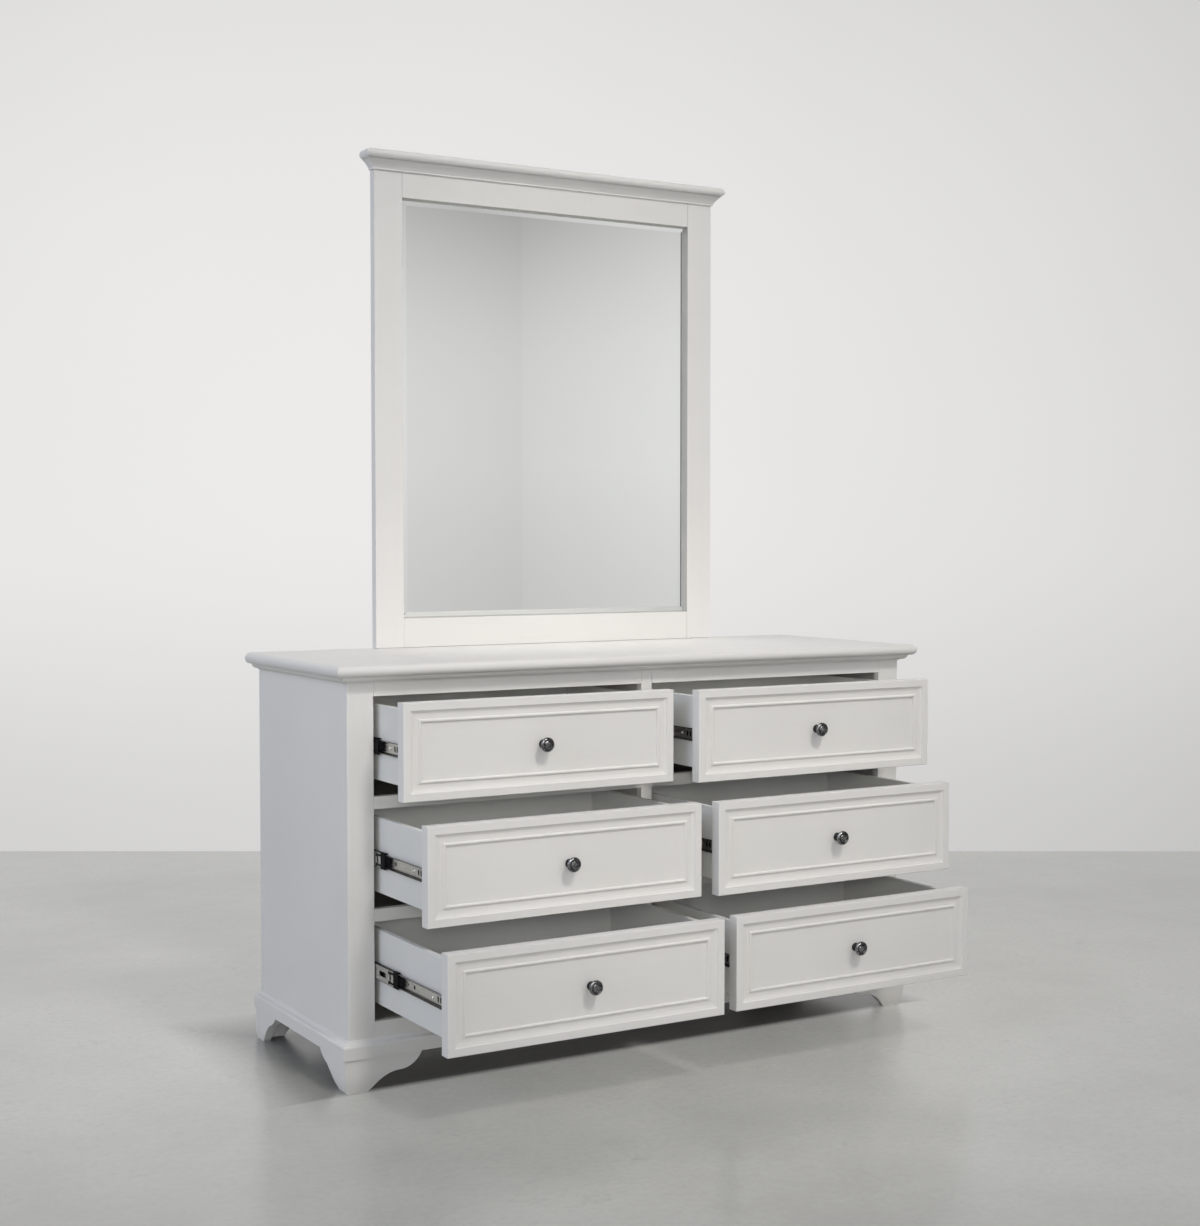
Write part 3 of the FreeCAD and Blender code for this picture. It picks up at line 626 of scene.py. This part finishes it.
def easedSolid(loops, edge, trim=None):
    # one solid with its flat faces joined up and its sharp edges rounded
    shape = bmesh.new()
    corners = {}
    for loop in loops:
        for point in loop:
            if point not in corners:
                corners[point] = shape.verts.new(point)
        if len(set(loop)) == len(loop):
            face = [corners[point] for point in loop]
            if shape.faces.get(face) is None:
                shape.faces.new(face)
    if trim:
        openJoints(shape, *trim)
    shape.normal_update()
    bmesh.ops.dissolve_limit(shape, angle_limit=easing["flatAngle"],
                             verts=shape.verts, edges=shape.edges)
    rim = shape.faces.layers.float.new("rim")
    if edge:
        edges = [each for each in shape.edges
                 if len(each.link_faces) == 2 and each.calc_face_angle() > easing["sharpAngle"]]
        made = bmesh.ops.bevel(shape, geom=edges, offset=edge, segments=easing["steps"],
                               profile=easing["profile"], affect="EDGES", clamp_overlap=True)
        for face in made["faces"]:
            face[rim] = 1.0
    return shape


def facesFront(face):
    return face.normal.y < -0.5


def facesOpening(face):
    # sides and sill of the mirror's opening
    inward = middleOf("mirror_frame")[0] - face.calc_center_median()
    normal = face.normal
    return abs(normal.y) < 0.5 and normal.z > -0.5 and normal.dot(inward) > 0.0


def dressWood(nodeName, finishName, kind, otherWood=None, isOther=facesFront):
    node = frame["nodes"][nodeName]
    materials = woods[finishName] + ([otherWood] if otherWood else [])
    whole = bmesh.new()
    for loops in solidsOf(node.data):
        shape = easedSolid(loops, easing[kind], joints.get(nodeName))
        axis = longestAxis(shape)
        for face in shape.faces:
            face.material_index = len(materials) - 1 if otherWood and isOther(face) else axis
        addMesh(whole, shape)
    mesh = finished(nodeName, meshFrom(nodeName, whole), [evenNormals])
    slotName = next(row["material_slot"] for row in frame["record"]["subparts"]
                    if row["node"] == nodeName)
    addPiece("fine_" + nodeName, mesh, materials, node["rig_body"], slotName, nodeName)


dressWood("top_board", "topLacquer", "painted")
for nodeName in ["bed_moulding", "side_panel_left", "side_panel_right", "stile_left", "stile_right",
                 "stile_centre", "frame_rails", "base_moulding", *feet, "mirror_crown"]:
    dressWood(nodeName, "whitePaint", "painted")
# the edges of the mirror's opening take the darker lip paint as painted shade
dressWood("mirror_frame", "whitePaint", "painted", woods["lipPaint"][2], facesOpening)
for nodeName in ("bottom_board", "centre_partition", "mirror_posts"):
    dressWood(nodeName, "innerBoard", "inner")
# the inner rails and the back's inner face carry the painted shade board
dressWood("inner_rails", "shadeBoard", "inner")
dressWood("back_panel", "hardboard", "board", woods["shadeBoard"][0])
dressWood("mirror_backboard", "hardboard", "board", woods["drawerLacquer"][0])
for bay in bays:
    dressWood("drawer_front_" + bay, "whitePaint", "front")
    dressWood("drawer_box_" + bay, "drawerLacquer", "inner")
    dressWood("drawer_floor_" + bay, "drawerLacquer", "board")
print("wood dressed")


# Mirror, metal and plastic: patches of two tones, a roughness that varies, and a fine bump

def makeFinish(name, tones, patches, rough, bump=None, stretch=(1.0, 1.0, 1.0), **plain):
    material, tree, shader = newMaterial(name, **plain)
    point, stretched = objectPoint(tree), objectPoint(tree, stretch)
    feed(shader, Base_Color=mixColour(tree, noise(tree, point, *patches), *tones),
         Roughness=noise(tree, stretched, *rough))
    if bump:
        texture, *heights = bump
        addBump(tree, shader, (noise(tree, stretched, texture), *heights))
    return material


metalLook = {
    "alongScale": 14.0, "acrossScale": 900.0,
    "streaks": (1.0, 3.0, 0.6), "roughRamp": (0.3, 0.7), "depth": 0.0001,
    "patches": (4.0, 0.6), "patchRamp": (0.35, 0.65),
}


def makeMetal(name, tones, roughness, grainAxis=None, bump=0.08, patchScale=60.0):
    look = metalLook
    return makeFinish(
        name, tones, ((patchScale, *look["patches"]), look["patchRamp"]),
        (look["streaks"], (*look["roughRamp"], *roughness)), (look["streaks"], bump, look["depth"]),
        [look["alongScale" if each == grainAxis else "acrossScale"] for each in "XYZ"],
        Metallic=1.0)


silveredGlass = makeFinish(
    "silveredGlass", ((0.955, 0.965, 0.96), (0.935, 0.945, 0.94)), [(6.0, 5.0, 0.6)],
    ((6.0, 5.0, 0.6), (0.5, 0.8, 0.0, 0.02)), Metallic=1.0, Roughness=0.0)
zincSteel = makeMetal("zincSteel", ((0.60, 0.595, 0.575), (0.54, 0.535, 0.52)), (0.24, 0.36), "Y")
# near-black steel for the faces that face up or down: painted shade along the folded lips
greasedSteel = makeMetal("greasedSteel", ((0.05, 0.049, 0.046), (0.10, 0.098, 0.092)),
                         (0.34, 0.5), "Y")
ballSteel = makeMetal("ballSteel", ((0.72, 0.72, 0.71), (0.62, 0.62, 0.61)), (0.10, 0.18))
screwSteel = makeMetal("screwSteel", ((0.88, 0.875, 0.86), (0.78, 0.775, 0.76)), (0.16, 0.28))
rubbedNickel = makeMetal("rubbedNickel", ((0.34, 0.34, 0.345), (0.03, 0.03, 0.033)),
                         (0.14, 0.28), bump=0.12, patchScale=260.0)
blackNickel = makeMetal("blackNickel", ((0.05, 0.05, 0.053), (0.02, 0.02, 0.022)),
                        (0.18, 0.30), bump=0.10, patchScale=170.0)
stopPlastic = makeFinish(
    "stopPlastic", ((0.007, 0.007, 0.008), (0.02, 0.02, 0.021)), ((90.0, 3.0, 0.6), (0.45, 0.75)),
    ((90.0, 3.0, 0.6), (0.3, 0.7, 0.32, 0.5)), ((1400.0, 2.0, 0.6), 0.2, 0.0001),
    Specular_IOR_Level=0.06)

mirrorMesh = meshFrom(
    "mirrorGlass", easedSolid(solidsOf(frame["nodes"]["mirror_glass"].data)[0], 0.0), False)
addPiece("fine_mirror_glass", mirrorMesh, [silveredGlass], "cabinet", "silvered_glass",
         "mirror_glass")

# Knobs, turned about their own axis

knob = {
    "segments": 56,
    # the finish is rubbed through from here to the front
    "rubbedFrom": 0.0195,
    # distance from the drawer front, and radius, both in the unit
    "unit": 0.001,
    "profile": [
        (0.0, 9.4), (1.0, 9.8), (2.4, 9.8), (3.4, 9.2), (5.0, 8.3), (7.5, 7.6), (10.0, 7.3),
        (12.6, 7.3), (14.6, 7.9), (16.2, 9.4), (17.4, 11.8), (18.6, 14.4), (19.8, 15.7),
        (21.2, 16.0), (22.6, 16.0), (24.0, 15.7), (25.2, 15.0), (26.2, 14.1), (26.7, 13.4),
        (26.8, 12.7), (26.4, 12.1), (24.8, 11.7), (23.6, 11.1), (23.4, 10.3), (23.7, 9.6),
        (25.0, 9.1), (26.2, 8.6), (27.0, 7.6), (27.6, 6.0), (27.9, 4.0), (28.0, 2.0), (28.0, 0.0),
    ],
}


def turnedKnob():
    shape = bmesh.new()
    unit, rings = knob["unit"], []
    for along, radius in knob["profile"]:
        spots = circle(radius * unit, knob["segments"]) if radius else [(0.0, 0.0)]
        rings.append([shape.verts.new((x, -along * unit, z)) for x, z in spots])
    shape.faces.new(rings[0])
    for near, far in zip(rings, rings[1:]):
        bridge(shape, near, far)
    mesh = closed("turnedKnob", shape)
    for face in mesh.polygons:
        face.material_index = int(face.center.y > -knob["rubbedFrom"])
    return mesh


def makeKnobs():
    turned = turnedKnob()
    for bay in bays:
        middle, low, high = middleOf("knob_" + bay)
        place = Matrix.Translation((middle.x, high.y, middle.z))
        addPiece("turned_knob_" + bay, joinMeshes("knob", [(turned, place, 0)]),
                 [rubbedNickel, blackNickel], "drawer_" + bay, "dark_nickel", "knob_" + bay)


makeKnobs()
print("knobs turned")

# Screws and balls, which stand where Geometry Nodes trees put them

screw = {
    "radius": 0.0037, "height": 0.0016, "segments": 24, "seed": 7,
    "crossLength": 0.0021, "crossWidth": 0.0005, "crossDepth": 0.0009, "crossFloor": 0.8,
    # shares of the radius and the height, from the seat to the top
    "profile": [(1.0, 0.0), (1.0, 0.45), (0.93, 0.8), (0.78, 1.0)],
}
balls = {
    "radius": 0.0015, "pitch": 0.0058, "subdivisions": 2,
    "rowLength": 0.110, "innerStart": 0.010, "outerStart": 0.020,
    # from the cabinet's side, and above the runner
    "outerPlace": 0.0035, "outerRise": 0.0020,
}


def screwMesh():
    # a low pan head on the plane z = 0, with a cross-shaped recess
    shape = bmesh.new()
    rings = []
    for radius, height in screw["profile"]:
        spots = circle(radius * screw["radius"], screw["segments"])
        rings.append([shape.verts.new((x, y, height * screw["height"])) for x, y in spots])
    for low, high in zip(rings, rings[1:]):
        bridge(shape, low, high)
    shape.faces.new(rings[0][::-1])
    a, b, top = screw["crossWidth"], screw["crossLength"], screw["height"]
    arm, outline = [(b, -a), (b, a), (a, a)], []
    for quarter in range(4):
        outline += arm
        arm = [(-y, x) for x, y in arm]
    mouth = [shape.verts.new((x, y, top)) for x, y in outline]
    share, depth = screw["crossFloor"], top - screw["crossDepth"]
    floor = [shape.verts.new((x * share, y * share, depth)) for x, y in outline]
    fillBetween(shape, [rings[-1], mouth])
    bridge(shape, mouth, floor)
    shape.faces.new(floor)
    return closed("screwHead", shape, False)


def growTree(name, kinds, place):
    # a base mesh and named inputs go in; what is placed comes out real and with its finish
    tree = bpy.data.node_groups.new(name, "GeometryNodeTree")

    def socket(label, kind, way="INPUT"):
        return tree.interface.new_socket(
            label, in_out=way, socket_type="NodeSocket" + kind).identifier

    socket("Geometry", "Geometry")
    sockets = {label: socket(label, kind) for label, kind in kinds.items()}
    socket("Geometry", "Geometry", "OUTPUT")
    given = addNode(tree, "NodeGroupInput").outputs
    placed = addNode(tree, "GeometryNodeInstanceOnPoints", place(tree, given)).outputs["Instances"]
    real = addNode(tree, "GeometryNodeRealizeInstances", {"Geometry": placed}).outputs["Geometry"]
    last = addNode(tree, "GeometryNodeSetMaterial", {"Geometry": real, "Material": given["Finish"]})
    addNode(tree, "NodeGroupOutput", {"Geometry": last.outputs["Geometry"]})
    return tree, sockets


def placeBalls(tree, given):
    # balls in rows along the edges of the base mesh
    line = addNode(tree, "GeometryNodeMeshToCurve", {"Mesh": given["Geometry"]}).outputs["Curve"]
    points = addNode(tree, "GeometryNodeResampleCurve", {"Curve": line, "Length": given["Pitch"]},
                     mode="LENGTH").outputs["Curve"]
    inputs = {"Radius": given["Ball radius"], "Subdivisions": balls["subdivisions"]}
    ball = addNode(tree, "GeometryNodeMeshIcoSphere", inputs).outputs["Mesh"]
    ball = addNode(tree, "GeometryNodeSetShadeSmooth", {"Geometry": ball}).outputs[0]
    return {"Points": points, "Instance": ball}


def placeScrews(tree, given):
    # a screw on every point, facing along the point's own direction and turned at random
    head = addNode(tree, "GeometryNodeObjectInfo", {"Object": given["Screw"]}).outputs["Geometry"]
    facing = addNode(tree, "GeometryNodeInputNamedAttribute", {"Name": "facing"},
                     data_type="FLOAT_VECTOR").outputs["Attribute"]
    turn = addNode(tree, "FunctionNodeAlignRotationToVector", {"Vector": facing}, axis="Z")
    spin = addNode(tree, "FunctionNodeRandomValue", {2: 0.0, 3: math.pi, "Seed": given["Seed"]})
    about = addNode(tree, "FunctionNodeAxisAngleToRotation",
                    {"Axis": (0.0, 0.0, 1.0), "Angle": spin.outputs[1]})
    turned = addNode(tree, "FunctionNodeRotateRotation",
                     {"Rotation": turn.outputs[0], "Rotate By": about.outputs[0]},
                     rotation_space="LOCAL").outputs[0]
    return {"Points": given["Geometry"], "Instance": head, "Rotation": turned,
            "Scale": given["Size"]}


ballTree = growTree(
    "ballRows", {"Ball radius": "Float", "Pitch": "Float", "Finish": "Material"}, placeBalls)
screwTree = growTree(
    "screws", {"Screw": "Object", "Size": "Float", "Seed": "Int", "Finish": "Material"},
    placeScrews)
screwHead = addObject("screwHead", screwMesh())


def addScrews(name, places, body, size):
    # places are pairs of a point and the direction that the head faces
    base = bpy.data.meshes.new("screwPoints")
    base.from_pydata([tuple(point) for point, facing in places], [], [])
    attribute = base.attributes.new("facing", "FLOAT_VECTOR", "POINT")
    attribute.data.foreach_set("vector", [value for point, facing in places for value in facing])
    values = {"Screw": screwHead, "Size": size, "Seed": screw["seed"], "Finish": screwSteel}
    addPiece(name, grow(base, screwTree, values), [screwSteel], body, "zinc_steel")


def addBalls(name, starts, body):
    base = bpy.data.meshes.new("ballLines")
    row = Vector((0.0, balls["rowLength"], 0.0))
    points = [tuple(point) for start in starts for point in (start, start + row)]
    base.from_pydata(points, [(2 * index, 2 * index + 1) for index in range(len(starts))], [])
    values = {"Ball radius": balls["radius"], "Pitch": balls["pitch"], "Finish": ballSteel}
    addPiece(name, grow(base, ballTree, values), [ballSteel], body, "zinc_steel")


# Ball-bearing slides. In a section u runs from the cabinet towards the drawer, and w runs up

slide = {
    "space": 0.0127, "play": 0.00035, "gauge": 0.0010, "bend": 0.0016, "bendSteps": 5,
    "cabinetHeight": 0.0454, "cabinetGauge": 0.0012, "hookDepth": 0.0072, "hookBend": 0.0022,
    "runnerHeight": 0.0354, "runnerOffset": 0.0022, "runnerDepth": 0.0077,
    "stripHeight": 0.0264, "stripDepth": 0.0081, "stripLip": 0.0020,
    "railLength": 0.400, "runnerLength": 0.304, "stopLength": 0.022, "noseLength": 0.024,
    # rounding of the sheet's edges as a share of its gauge, and how steep a face is that takes the
    # painted shade of the folds
    "edgeShare": 0.14, "edgeAngle": 0.9, "shadedFoldFrom": 0.12,
    # holes in a web: distance of the middle from the front end, length along the rail, height
    "stripHoles": [(0.0180, 0.0070, 0.0130), (0.0300, 0.0070, 0.0130), (0.052, 0.005, 0.005),
                   (0.142, 0.009, 0.009), (0.171, 0.0055, 0.0055), (0.205, 0.018, 0.006),
                   (0.250, 0.005, 0.005), (0.300, 0.0065, 0.0065), (0.368, 0.005, 0.005)],
    "runnerHoles": [(0.012, 0.004, 0.004), (0.054, 0.034, 0.011), (0.120, 0.030, 0.008),
                    (0.184, 0.030, 0.008), (0.268, 0.022, 0.009)],
    "cabinetHoles": [(0.032, 0.006, 0.006), (0.060, 0.014, 0.005), (0.128, 0.006, 0.006),
                     (0.200, 0.030, 0.010), (0.272, 0.006, 0.006), (0.368, 0.006, 0.006)],
    "holeCorners": 16,
    # a black recess behind a hole, as painted shade in it: its margin, the shares of the gauge at
    # mouth and floor, its floor
    "recessMargin": 0.0008, "recessDepths": (0.45, 0.12), "recessFloor": 0.7,
    "stripScrews": [0.052, 0.250, 0.368], "stripScrewSize": 1.1,
    "cabinetScrews": [0.032, 0.128, 0.272, 0.368], "cabinetScrewSize": 0.55,
}


def roundedPath(points, radius, steps):
    path = [Vector(points[0])]
    for before, corner, after in zip(points[:-2], points[1:-1], points[2:]):
        corner = Vector(corner)
        inward = (Vector(before) - corner).normalized()
        onward = (Vector(after) - corner).normalized()
        centre = corner + (inward + onward) * radius
        for step in range(steps + 1):
            angle = math.pi / 2 * step / steps
            path.append(centre - onward * radius * math.cos(angle)
                        - inward * radius * math.sin(angle))
    path.append(Vector(points[-1]))
    return path


def holeLoop(shape, u, middle, length, height):
    # a round-ended slot along the longer way, or a round hole
    radius = min(length, height) / 2
    alongY, alongZ = max(length / 2 - radius, 0.0), max(height / 2 - radius, 0.0)
    loop = []
    for y, w in circle(radius, slide["holeCorners"], 0.5):
        spot = (u, middle + math.copysign(alongY, y) + y, math.copysign(alongZ, w) + w)
        loop.append(shape.verts.new(spot))
    return loop


def foldedRail(name, lip, web, half, tip, bend, gauge, length, holes):
    # sheet folded to a channel with turned-in lips; the longest run is the web, which has holes
    points = [(lip, tip), (lip, half), (web, half), (web, -half), (lip, -half), (lip, -tip)]
    path = roundedPath(points, bend, slide["bendSteps"])
    spans = [(after - before).length for before, after in zip(path, path[1:])]
    widest = spans.index(max(spans))
    shape = bmesh.new()
    columns = [[shape.verts.new((p.x, y, p.y)) for y in (0.0, length)] for p in path]
    for index, (here, there) in enumerate(zip(columns, columns[1:])):
        loop = [*here, *reversed(there)]
        if index == widest:
            fillBetween(shape, [loop] + [holeLoop(shape, path[index].x, *hole) for hole in holes])
        else:
            shape.faces.new(loop)
    bmesh.ops.recalc_face_normals(shape, faces=shape.faces)
    # faces that face up or down take the near-black steel as painted shade along the folds
    for face in shape.faces:
        face.material_index = int(abs(face.normal.z) > slide["shadedFoldFrom"])
    solidify = {"thickness": gauge, "offset": 0.0, "use_even_offset": True}
    bevel = {"width": gauge * slide["edgeShare"], "segments": 1, "limit_method": "ANGLE",
             "angle_limit": slide["edgeAngle"]}
    return finished(name, meshFrom(name, shape),
                    [("SOLIDIFY", solidify), ("BEVEL", bevel), evenNormals])


def makeRails():
    # the cabinet's rail, the runner and the drawer's rail, each seated in the one before
    gauge, thick, play = slide["gauge"], slide["cabinetGauge"], slide["play"]
    offset, space, bend = slide["runnerOffset"], slide["space"], slide["bend"]
    stripHalf = (slide["stripHeight"] - gauge) / 2
    return (
        foldedRail("cabinetRail", slide["hookDepth"] - thick / 2, thick / 2,
                   (slide["cabinetHeight"] - thick) / 2, slide["runnerHeight"] / 2 + play,
                   slide["hookBend"], thick, slide["railLength"], slide["cabinetHoles"]),
        foldedRail("runnerRail", offset + slide["runnerDepth"] - gauge / 2, offset + gauge / 2,
                   (slide["runnerHeight"] - gauge) / 2, slide["stripHeight"] / 2 + play,
                   bend, gauge, slide["runnerLength"], slide["runnerHoles"]),
        foldedRail("drawerStrip", space - slide["stripDepth"] + gauge / 2, space - gauge / 2,
                   stripHalf, stripHalf + slide["stripLip"],
                   bend, gauge, slide["railLength"], slide["stripHoles"]),
    )


def shadeRecessMesh():
    # black dished recesses behind the holes of a drawer's rail: painted shade in the holes
    shape = bmesh.new()
    margin, share = slide["recessMargin"], slide["recessFloor"]
    mouth, floor = [slide["space"] - slide["gauge"] * depth for depth in slide["recessDepths"]]
    for middle, length, height in slide["stripHoles"]:
        outer = holeLoop(shape, mouth, middle, length + margin, height + margin)
        inner = holeLoop(shape, floor, middle, length * share, height * share)
        bridge(shape, outer, inner)
        shape.faces.new(inner)
    return closed("recesses", shape)


def slidePlaces(bay):
    # the matrices that put a left-hand slide on both sides of a drawer, at y = 0
    low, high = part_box("drawer_box_" + bay)
    height = middleOf("slide_runners_" + bay)[0].z
    left = Matrix.Translation((low.x - slide["space"], 0.0, height))
    right = Matrix.Translation((high.x + slide["space"], 0.0, height))
    return left, right @ Matrix.Diagonal((-1, 1, 1, 1))


# the black moulded stop: a plate across the runner's front end and a core inside the drawer's
# rail, a toothed nose in front of them, and a bow, two arms and ribs on the runner's web
stop = {
    "edge": 0.0005, "armEdge": 0.0004, "ribEdge": 0.0003, "overlap": 0.0005, "inset": 0.002,
    "barFrom": 0.72, "teeth": 5, "toothHalf": 0.40, "toothTip": 0.25, "toothBack": 0.74,
    # how far arms, hooks and bow are sunk in the web, and how far they stand out of it
    "armSunk": 0.0004, "hookSunk": 0.0006, "armOut": 0.0009,
    "armLength": 0.024, "armHeight": 0.0050, "armPlace": 1.4,
    "hookLength": 0.005, "hookOuter": 1.7, "hookInner": 1.3,
    "bowPlace": 0.0125, "bowLength": 0.0045, "bowInset": 0.006,
    # places of the ribs as shares of the stop's length
    "ribs": (0.22, 0.50, 0.78),
    "ribHalf": 0.0012, "ribInset": 0.003, "ribSunk": 0.0006, "ribOut": 0.0005,
}


def blockMesh(low, high, edge):
    low, high = Vector(low), Vector(high)
    shape = bmesh.new()
    place = Matrix.Translation((low + high) / 2) @ Matrix.Diagonal((*(high - low), 1.0))
    bmesh.ops.create_cube(shape, size=1.0, matrix=place)
    bmesh.ops.bevel(shape, geom=shape.edges, offset=edge, segments=easing["steps"],
                    profile=easing["profile"], affect="EDGES")
    return finished("block", meshFrom("block", shape), [("WEIGHTED_NORMAL", {})])


def toothMesh(near, far, back, middle, half):
    # a wedge that narrows to the front
    shape = bmesh.new()
    tip = half * stop["toothTip"]
    corners = ((back, -half), (back, half), (0.0, tip), (0.0, -tip))
    rings = [[shape.verts.new((u, y, middle + w)) for y, w in corners] for u in (near, far)]
    bridge(shape, *rings)
    for ring in rings:
        shape.faces.new(ring)
    return closed("tooth", shape, False)


def stopParts():
    nose, near, play = slide["noseLength"], slide["runnerOffset"], slide["play"]
    back, inset = nose + slide["stopLength"], stop["inset"]
    half, stripHalf = slide["runnerHeight"] / 2, slide["stripHeight"] / 2
    plate = slide["space"] - slide["stripDepth"] - play
    # a channel is left in front of the rail's web for the screw heads
    deep = slide["space"] - slide["gauge"] - screw["height"] * slide["stripScrewSize"] - play
    core = stripHalf - slide["gauge"] - play
    gap = stripHalf - slide["gauge"] / 2 + slide["stripLip"] + play
    # each block is given by its edge, and by its ends along u, y and w
    edge, armEdge = stop["edge"], stop["armEdge"]
    sunk, out = near - stop["hookSunk"], near + stop["armOut"]
    bow, bowHalf = back + stop["bowPlace"], half - stop["bowInset"]
    blocks = [
        (edge, near, plate, nose, back, -half, half),
        (edge, plate - stop["overlap"], deep, nose, back, -core, core),
        (edge, plate + inset, deep, nose * stop["barFrom"], nose, inset - core, core - inset),
        (armEdge, sunk, out, bow, bow + stop["bowLength"], -bowHalf, bowHalf),
    ]
    arm, armEnd = stop["armHeight"] / 2, back + stop["armLength"]
    for side in (-1, 1):
        middle = side * (half - stop["armHeight"] * stop["armPlace"])
        horn = sorted((side * gap, side * half))
        blocks += [
            (edge, near, near + slide["runnerDepth"], nose, back, *horn),
            (armEdge, near - stop["armSunk"], out, back, armEnd, middle - arm, middle + arm),
            (armEdge, sunk, out, armEnd - stop["hookLength"], armEnd,
             middle - arm * stop["hookOuter"], middle + arm * stop["hookInner"]),
        ]
    ribHalf, ribEnd = stop["ribHalf"], half - stop["ribInset"]
    for share in stop["ribs"]:
        y = nose + slide["stopLength"] * share
        blocks.append((stop["ribEdge"], near - stop["ribSunk"], near + stop["ribOut"],
                       y - ribHalf, y + ribHalf, -ribEnd, ribEnd))
    parts = [blockMesh(ends[::2], ends[1::2], edge) for edge, *ends in blocks]
    pitch = 2 * (core - inset) / stop["teeth"]
    for tooth in range(stop["teeth"]):
        middle = inset - core + pitch * (tooth + 0.5)
        parts.append(toothMesh(plate + inset, deep, nose * stop["toothBack"], middle,
                               pitch * stop["toothHalf"]))
    return parts


def addSteel(name, parts, materials, body, *stoodFor):
    addPiece(name, joinMeshes(name, parts), materials, body, "zinc_steel", *stoodFor)


def makeSlides():
    cabinetRail, runnerRail, strip = makeRails()
    stopMesh = joinMeshes("stop", [(part, Matrix.Identity(4), 0) for part in stopParts()])
    recesses = shadeRecessMesh()
    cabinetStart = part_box("slide_cabinet_rails")[0].y
    stripFace, cabinetFace = slide["space"] - slide["gauge"], slide["cabinetGauge"] / 2
    # the rows of balls: between strip and runner, and between runner and cabinet rail
    innerPlace = (slide["space"] - slide["stripDepth"]
                  + slide["runnerOffset"] + slide["runnerDepth"]) / 2
    innerRise = (slide["stripHeight"] + slide["runnerHeight"] - 2 * slide["gauge"]) / 4
    outerRise = slide["runnerHeight"] / 2 + balls["outerRise"]
    steels = [zincSteel, greasedSteel]
    cabinetParts, cabinetScrews, outerRows = [], [], []
    for bay in bays:
        drawer, runner = "drawer_" + bay, "runner_" + bay
        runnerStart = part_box("slide_runners_" + bay)[0].y
        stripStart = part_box("slide_drawer_rails_" + bay)[0].y
        railStart = runnerStart + slide["noseLength"] + slide["stopLength"]
        stripParts, runnerParts, stops, stripScrews, innerRows = [], [], [], [], []
        for place in slidePlaces(bay):
            facing = place.to_3x3() @ Vector((1.0, 0.0, 0.0))
            # the recesses behind the strip's holes take the black stop plastic as painted shade
            for parts, mesh, start, number in (
                    (cabinetParts, cabinetRail, cabinetStart, 0),
                    (stripParts, strip, stripStart, 0), (stripParts, recesses, stripStart, 2),
                    (runnerParts, runnerRail, railStart, 0), (stops, stopMesh, runnerStart, 0)):
                parts.append((mesh, place @ Matrix.Translation((0, start, 0)), number))
            stripScrews += [(place @ Vector((stripFace, stripStart + along, 0.0)), -facing)
                            for along in slide["stripScrews"]]
            cabinetScrews += [(place @ Vector((cabinetFace, cabinetStart + along, 0.0)), facing)
                              for along in slide["cabinetScrews"]]
            for side in (-1, 1):
                innerRows.append(place @ Vector((
                    innerPlace, railStart + balls["innerStart"], side * innerRise)))
                outerRows.append(place @ Vector((
                    balls["outerPlace"], cabinetStart + balls["outerStart"], side * outerRise)))
        addSteel("steel_strips_" + bay, stripParts, [*steels, stopPlastic], drawer,
                 "slide_drawer_rails_" + bay)
        addSteel("steel_runners_" + bay, runnerParts, steels, runner, "slide_runners_" + bay)
        addSteel("stops_" + bay, stops, [stopPlastic], runner)
        addScrews("strip_screws_" + bay, stripScrews, drawer, slide["stripScrewSize"])
        addBalls("inner_balls_" + bay, innerRows, runner)
    addSteel("steel_cabinet_rails", cabinetParts, steels, "cabinet", "slide_cabinet_rails")
    addScrews("cabinet_rail_screws", cabinetScrews, "cabinet", slide["cabinetScrewSize"])
    addBalls("outer_balls", outerRows, "cabinet")


makeSlides()
print("slides made")


# Screws of the posts, the back panel and the knobs

fixings = {
    "postSize": 1.25, "postInset": 0.030, "postMiddle": 0.025,
    "panelSize": 0.7, "panelInset": 0.012, "panelPitch": 0.17,
    # the depth is from the drawer box's face to the inner side of its front board
    "knobSize": 1.5, "knobDepth": 0.012,
}


def facingBack(spots):
    return [(Vector(spot), Vector((0.0, 1.0, 0.0))) for spot in spots]


def makeFixings():
    low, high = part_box("mirror_posts")
    inset, middle = fixings["postInset"], fixings["postMiddle"]
    seat = high.y - joints["mirror_posts"][-1]
    levels = (low.z + inset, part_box("back_panel")[1].z - inset,
              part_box("top_board")[1].z + 2 * inset, high.z - inset)
    spots = [(x, seat, z) for x in (low.x + middle, high.x - middle) for z in levels]
    addScrews("post_screws", facingBack(spots), "cabinet", fixings["postSize"])
    low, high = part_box("back_panel")
    inset, pitch = fixings["panelInset"], fixings["panelPitch"]
    width, height = high.x - low.x, high.z - low.z
    across, up = round(width / pitch), round(height / pitch)
    spots = [(low.x + inset + (width - 2 * inset) * step / across, high.y, z)
             for step in range(across + 1) for z in (low.z + inset, high.z - inset)]
    spots += [(x, high.y, low.z + inset + (height - 2 * inset) * step / up)
              for step in range(1, up) for x in (low.x + inset, high.x - inset)]
    addScrews("panel_screws", facingBack(spots), "cabinet", fixings["panelSize"])
    for bay in bays:
        middle = middleOf("knob_" + bay)[0]
        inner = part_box("drawer_box_" + bay)[0].y + fixings["knobDepth"]
        addScrews("knob_screw_" + bay, facingBack([(middle.x, inner, middle.z)]),
                  "drawer_" + bay, fixings["knobSize"])


makeFixings()
bpy.data.objects.remove(screwHead)
print("fixings made")
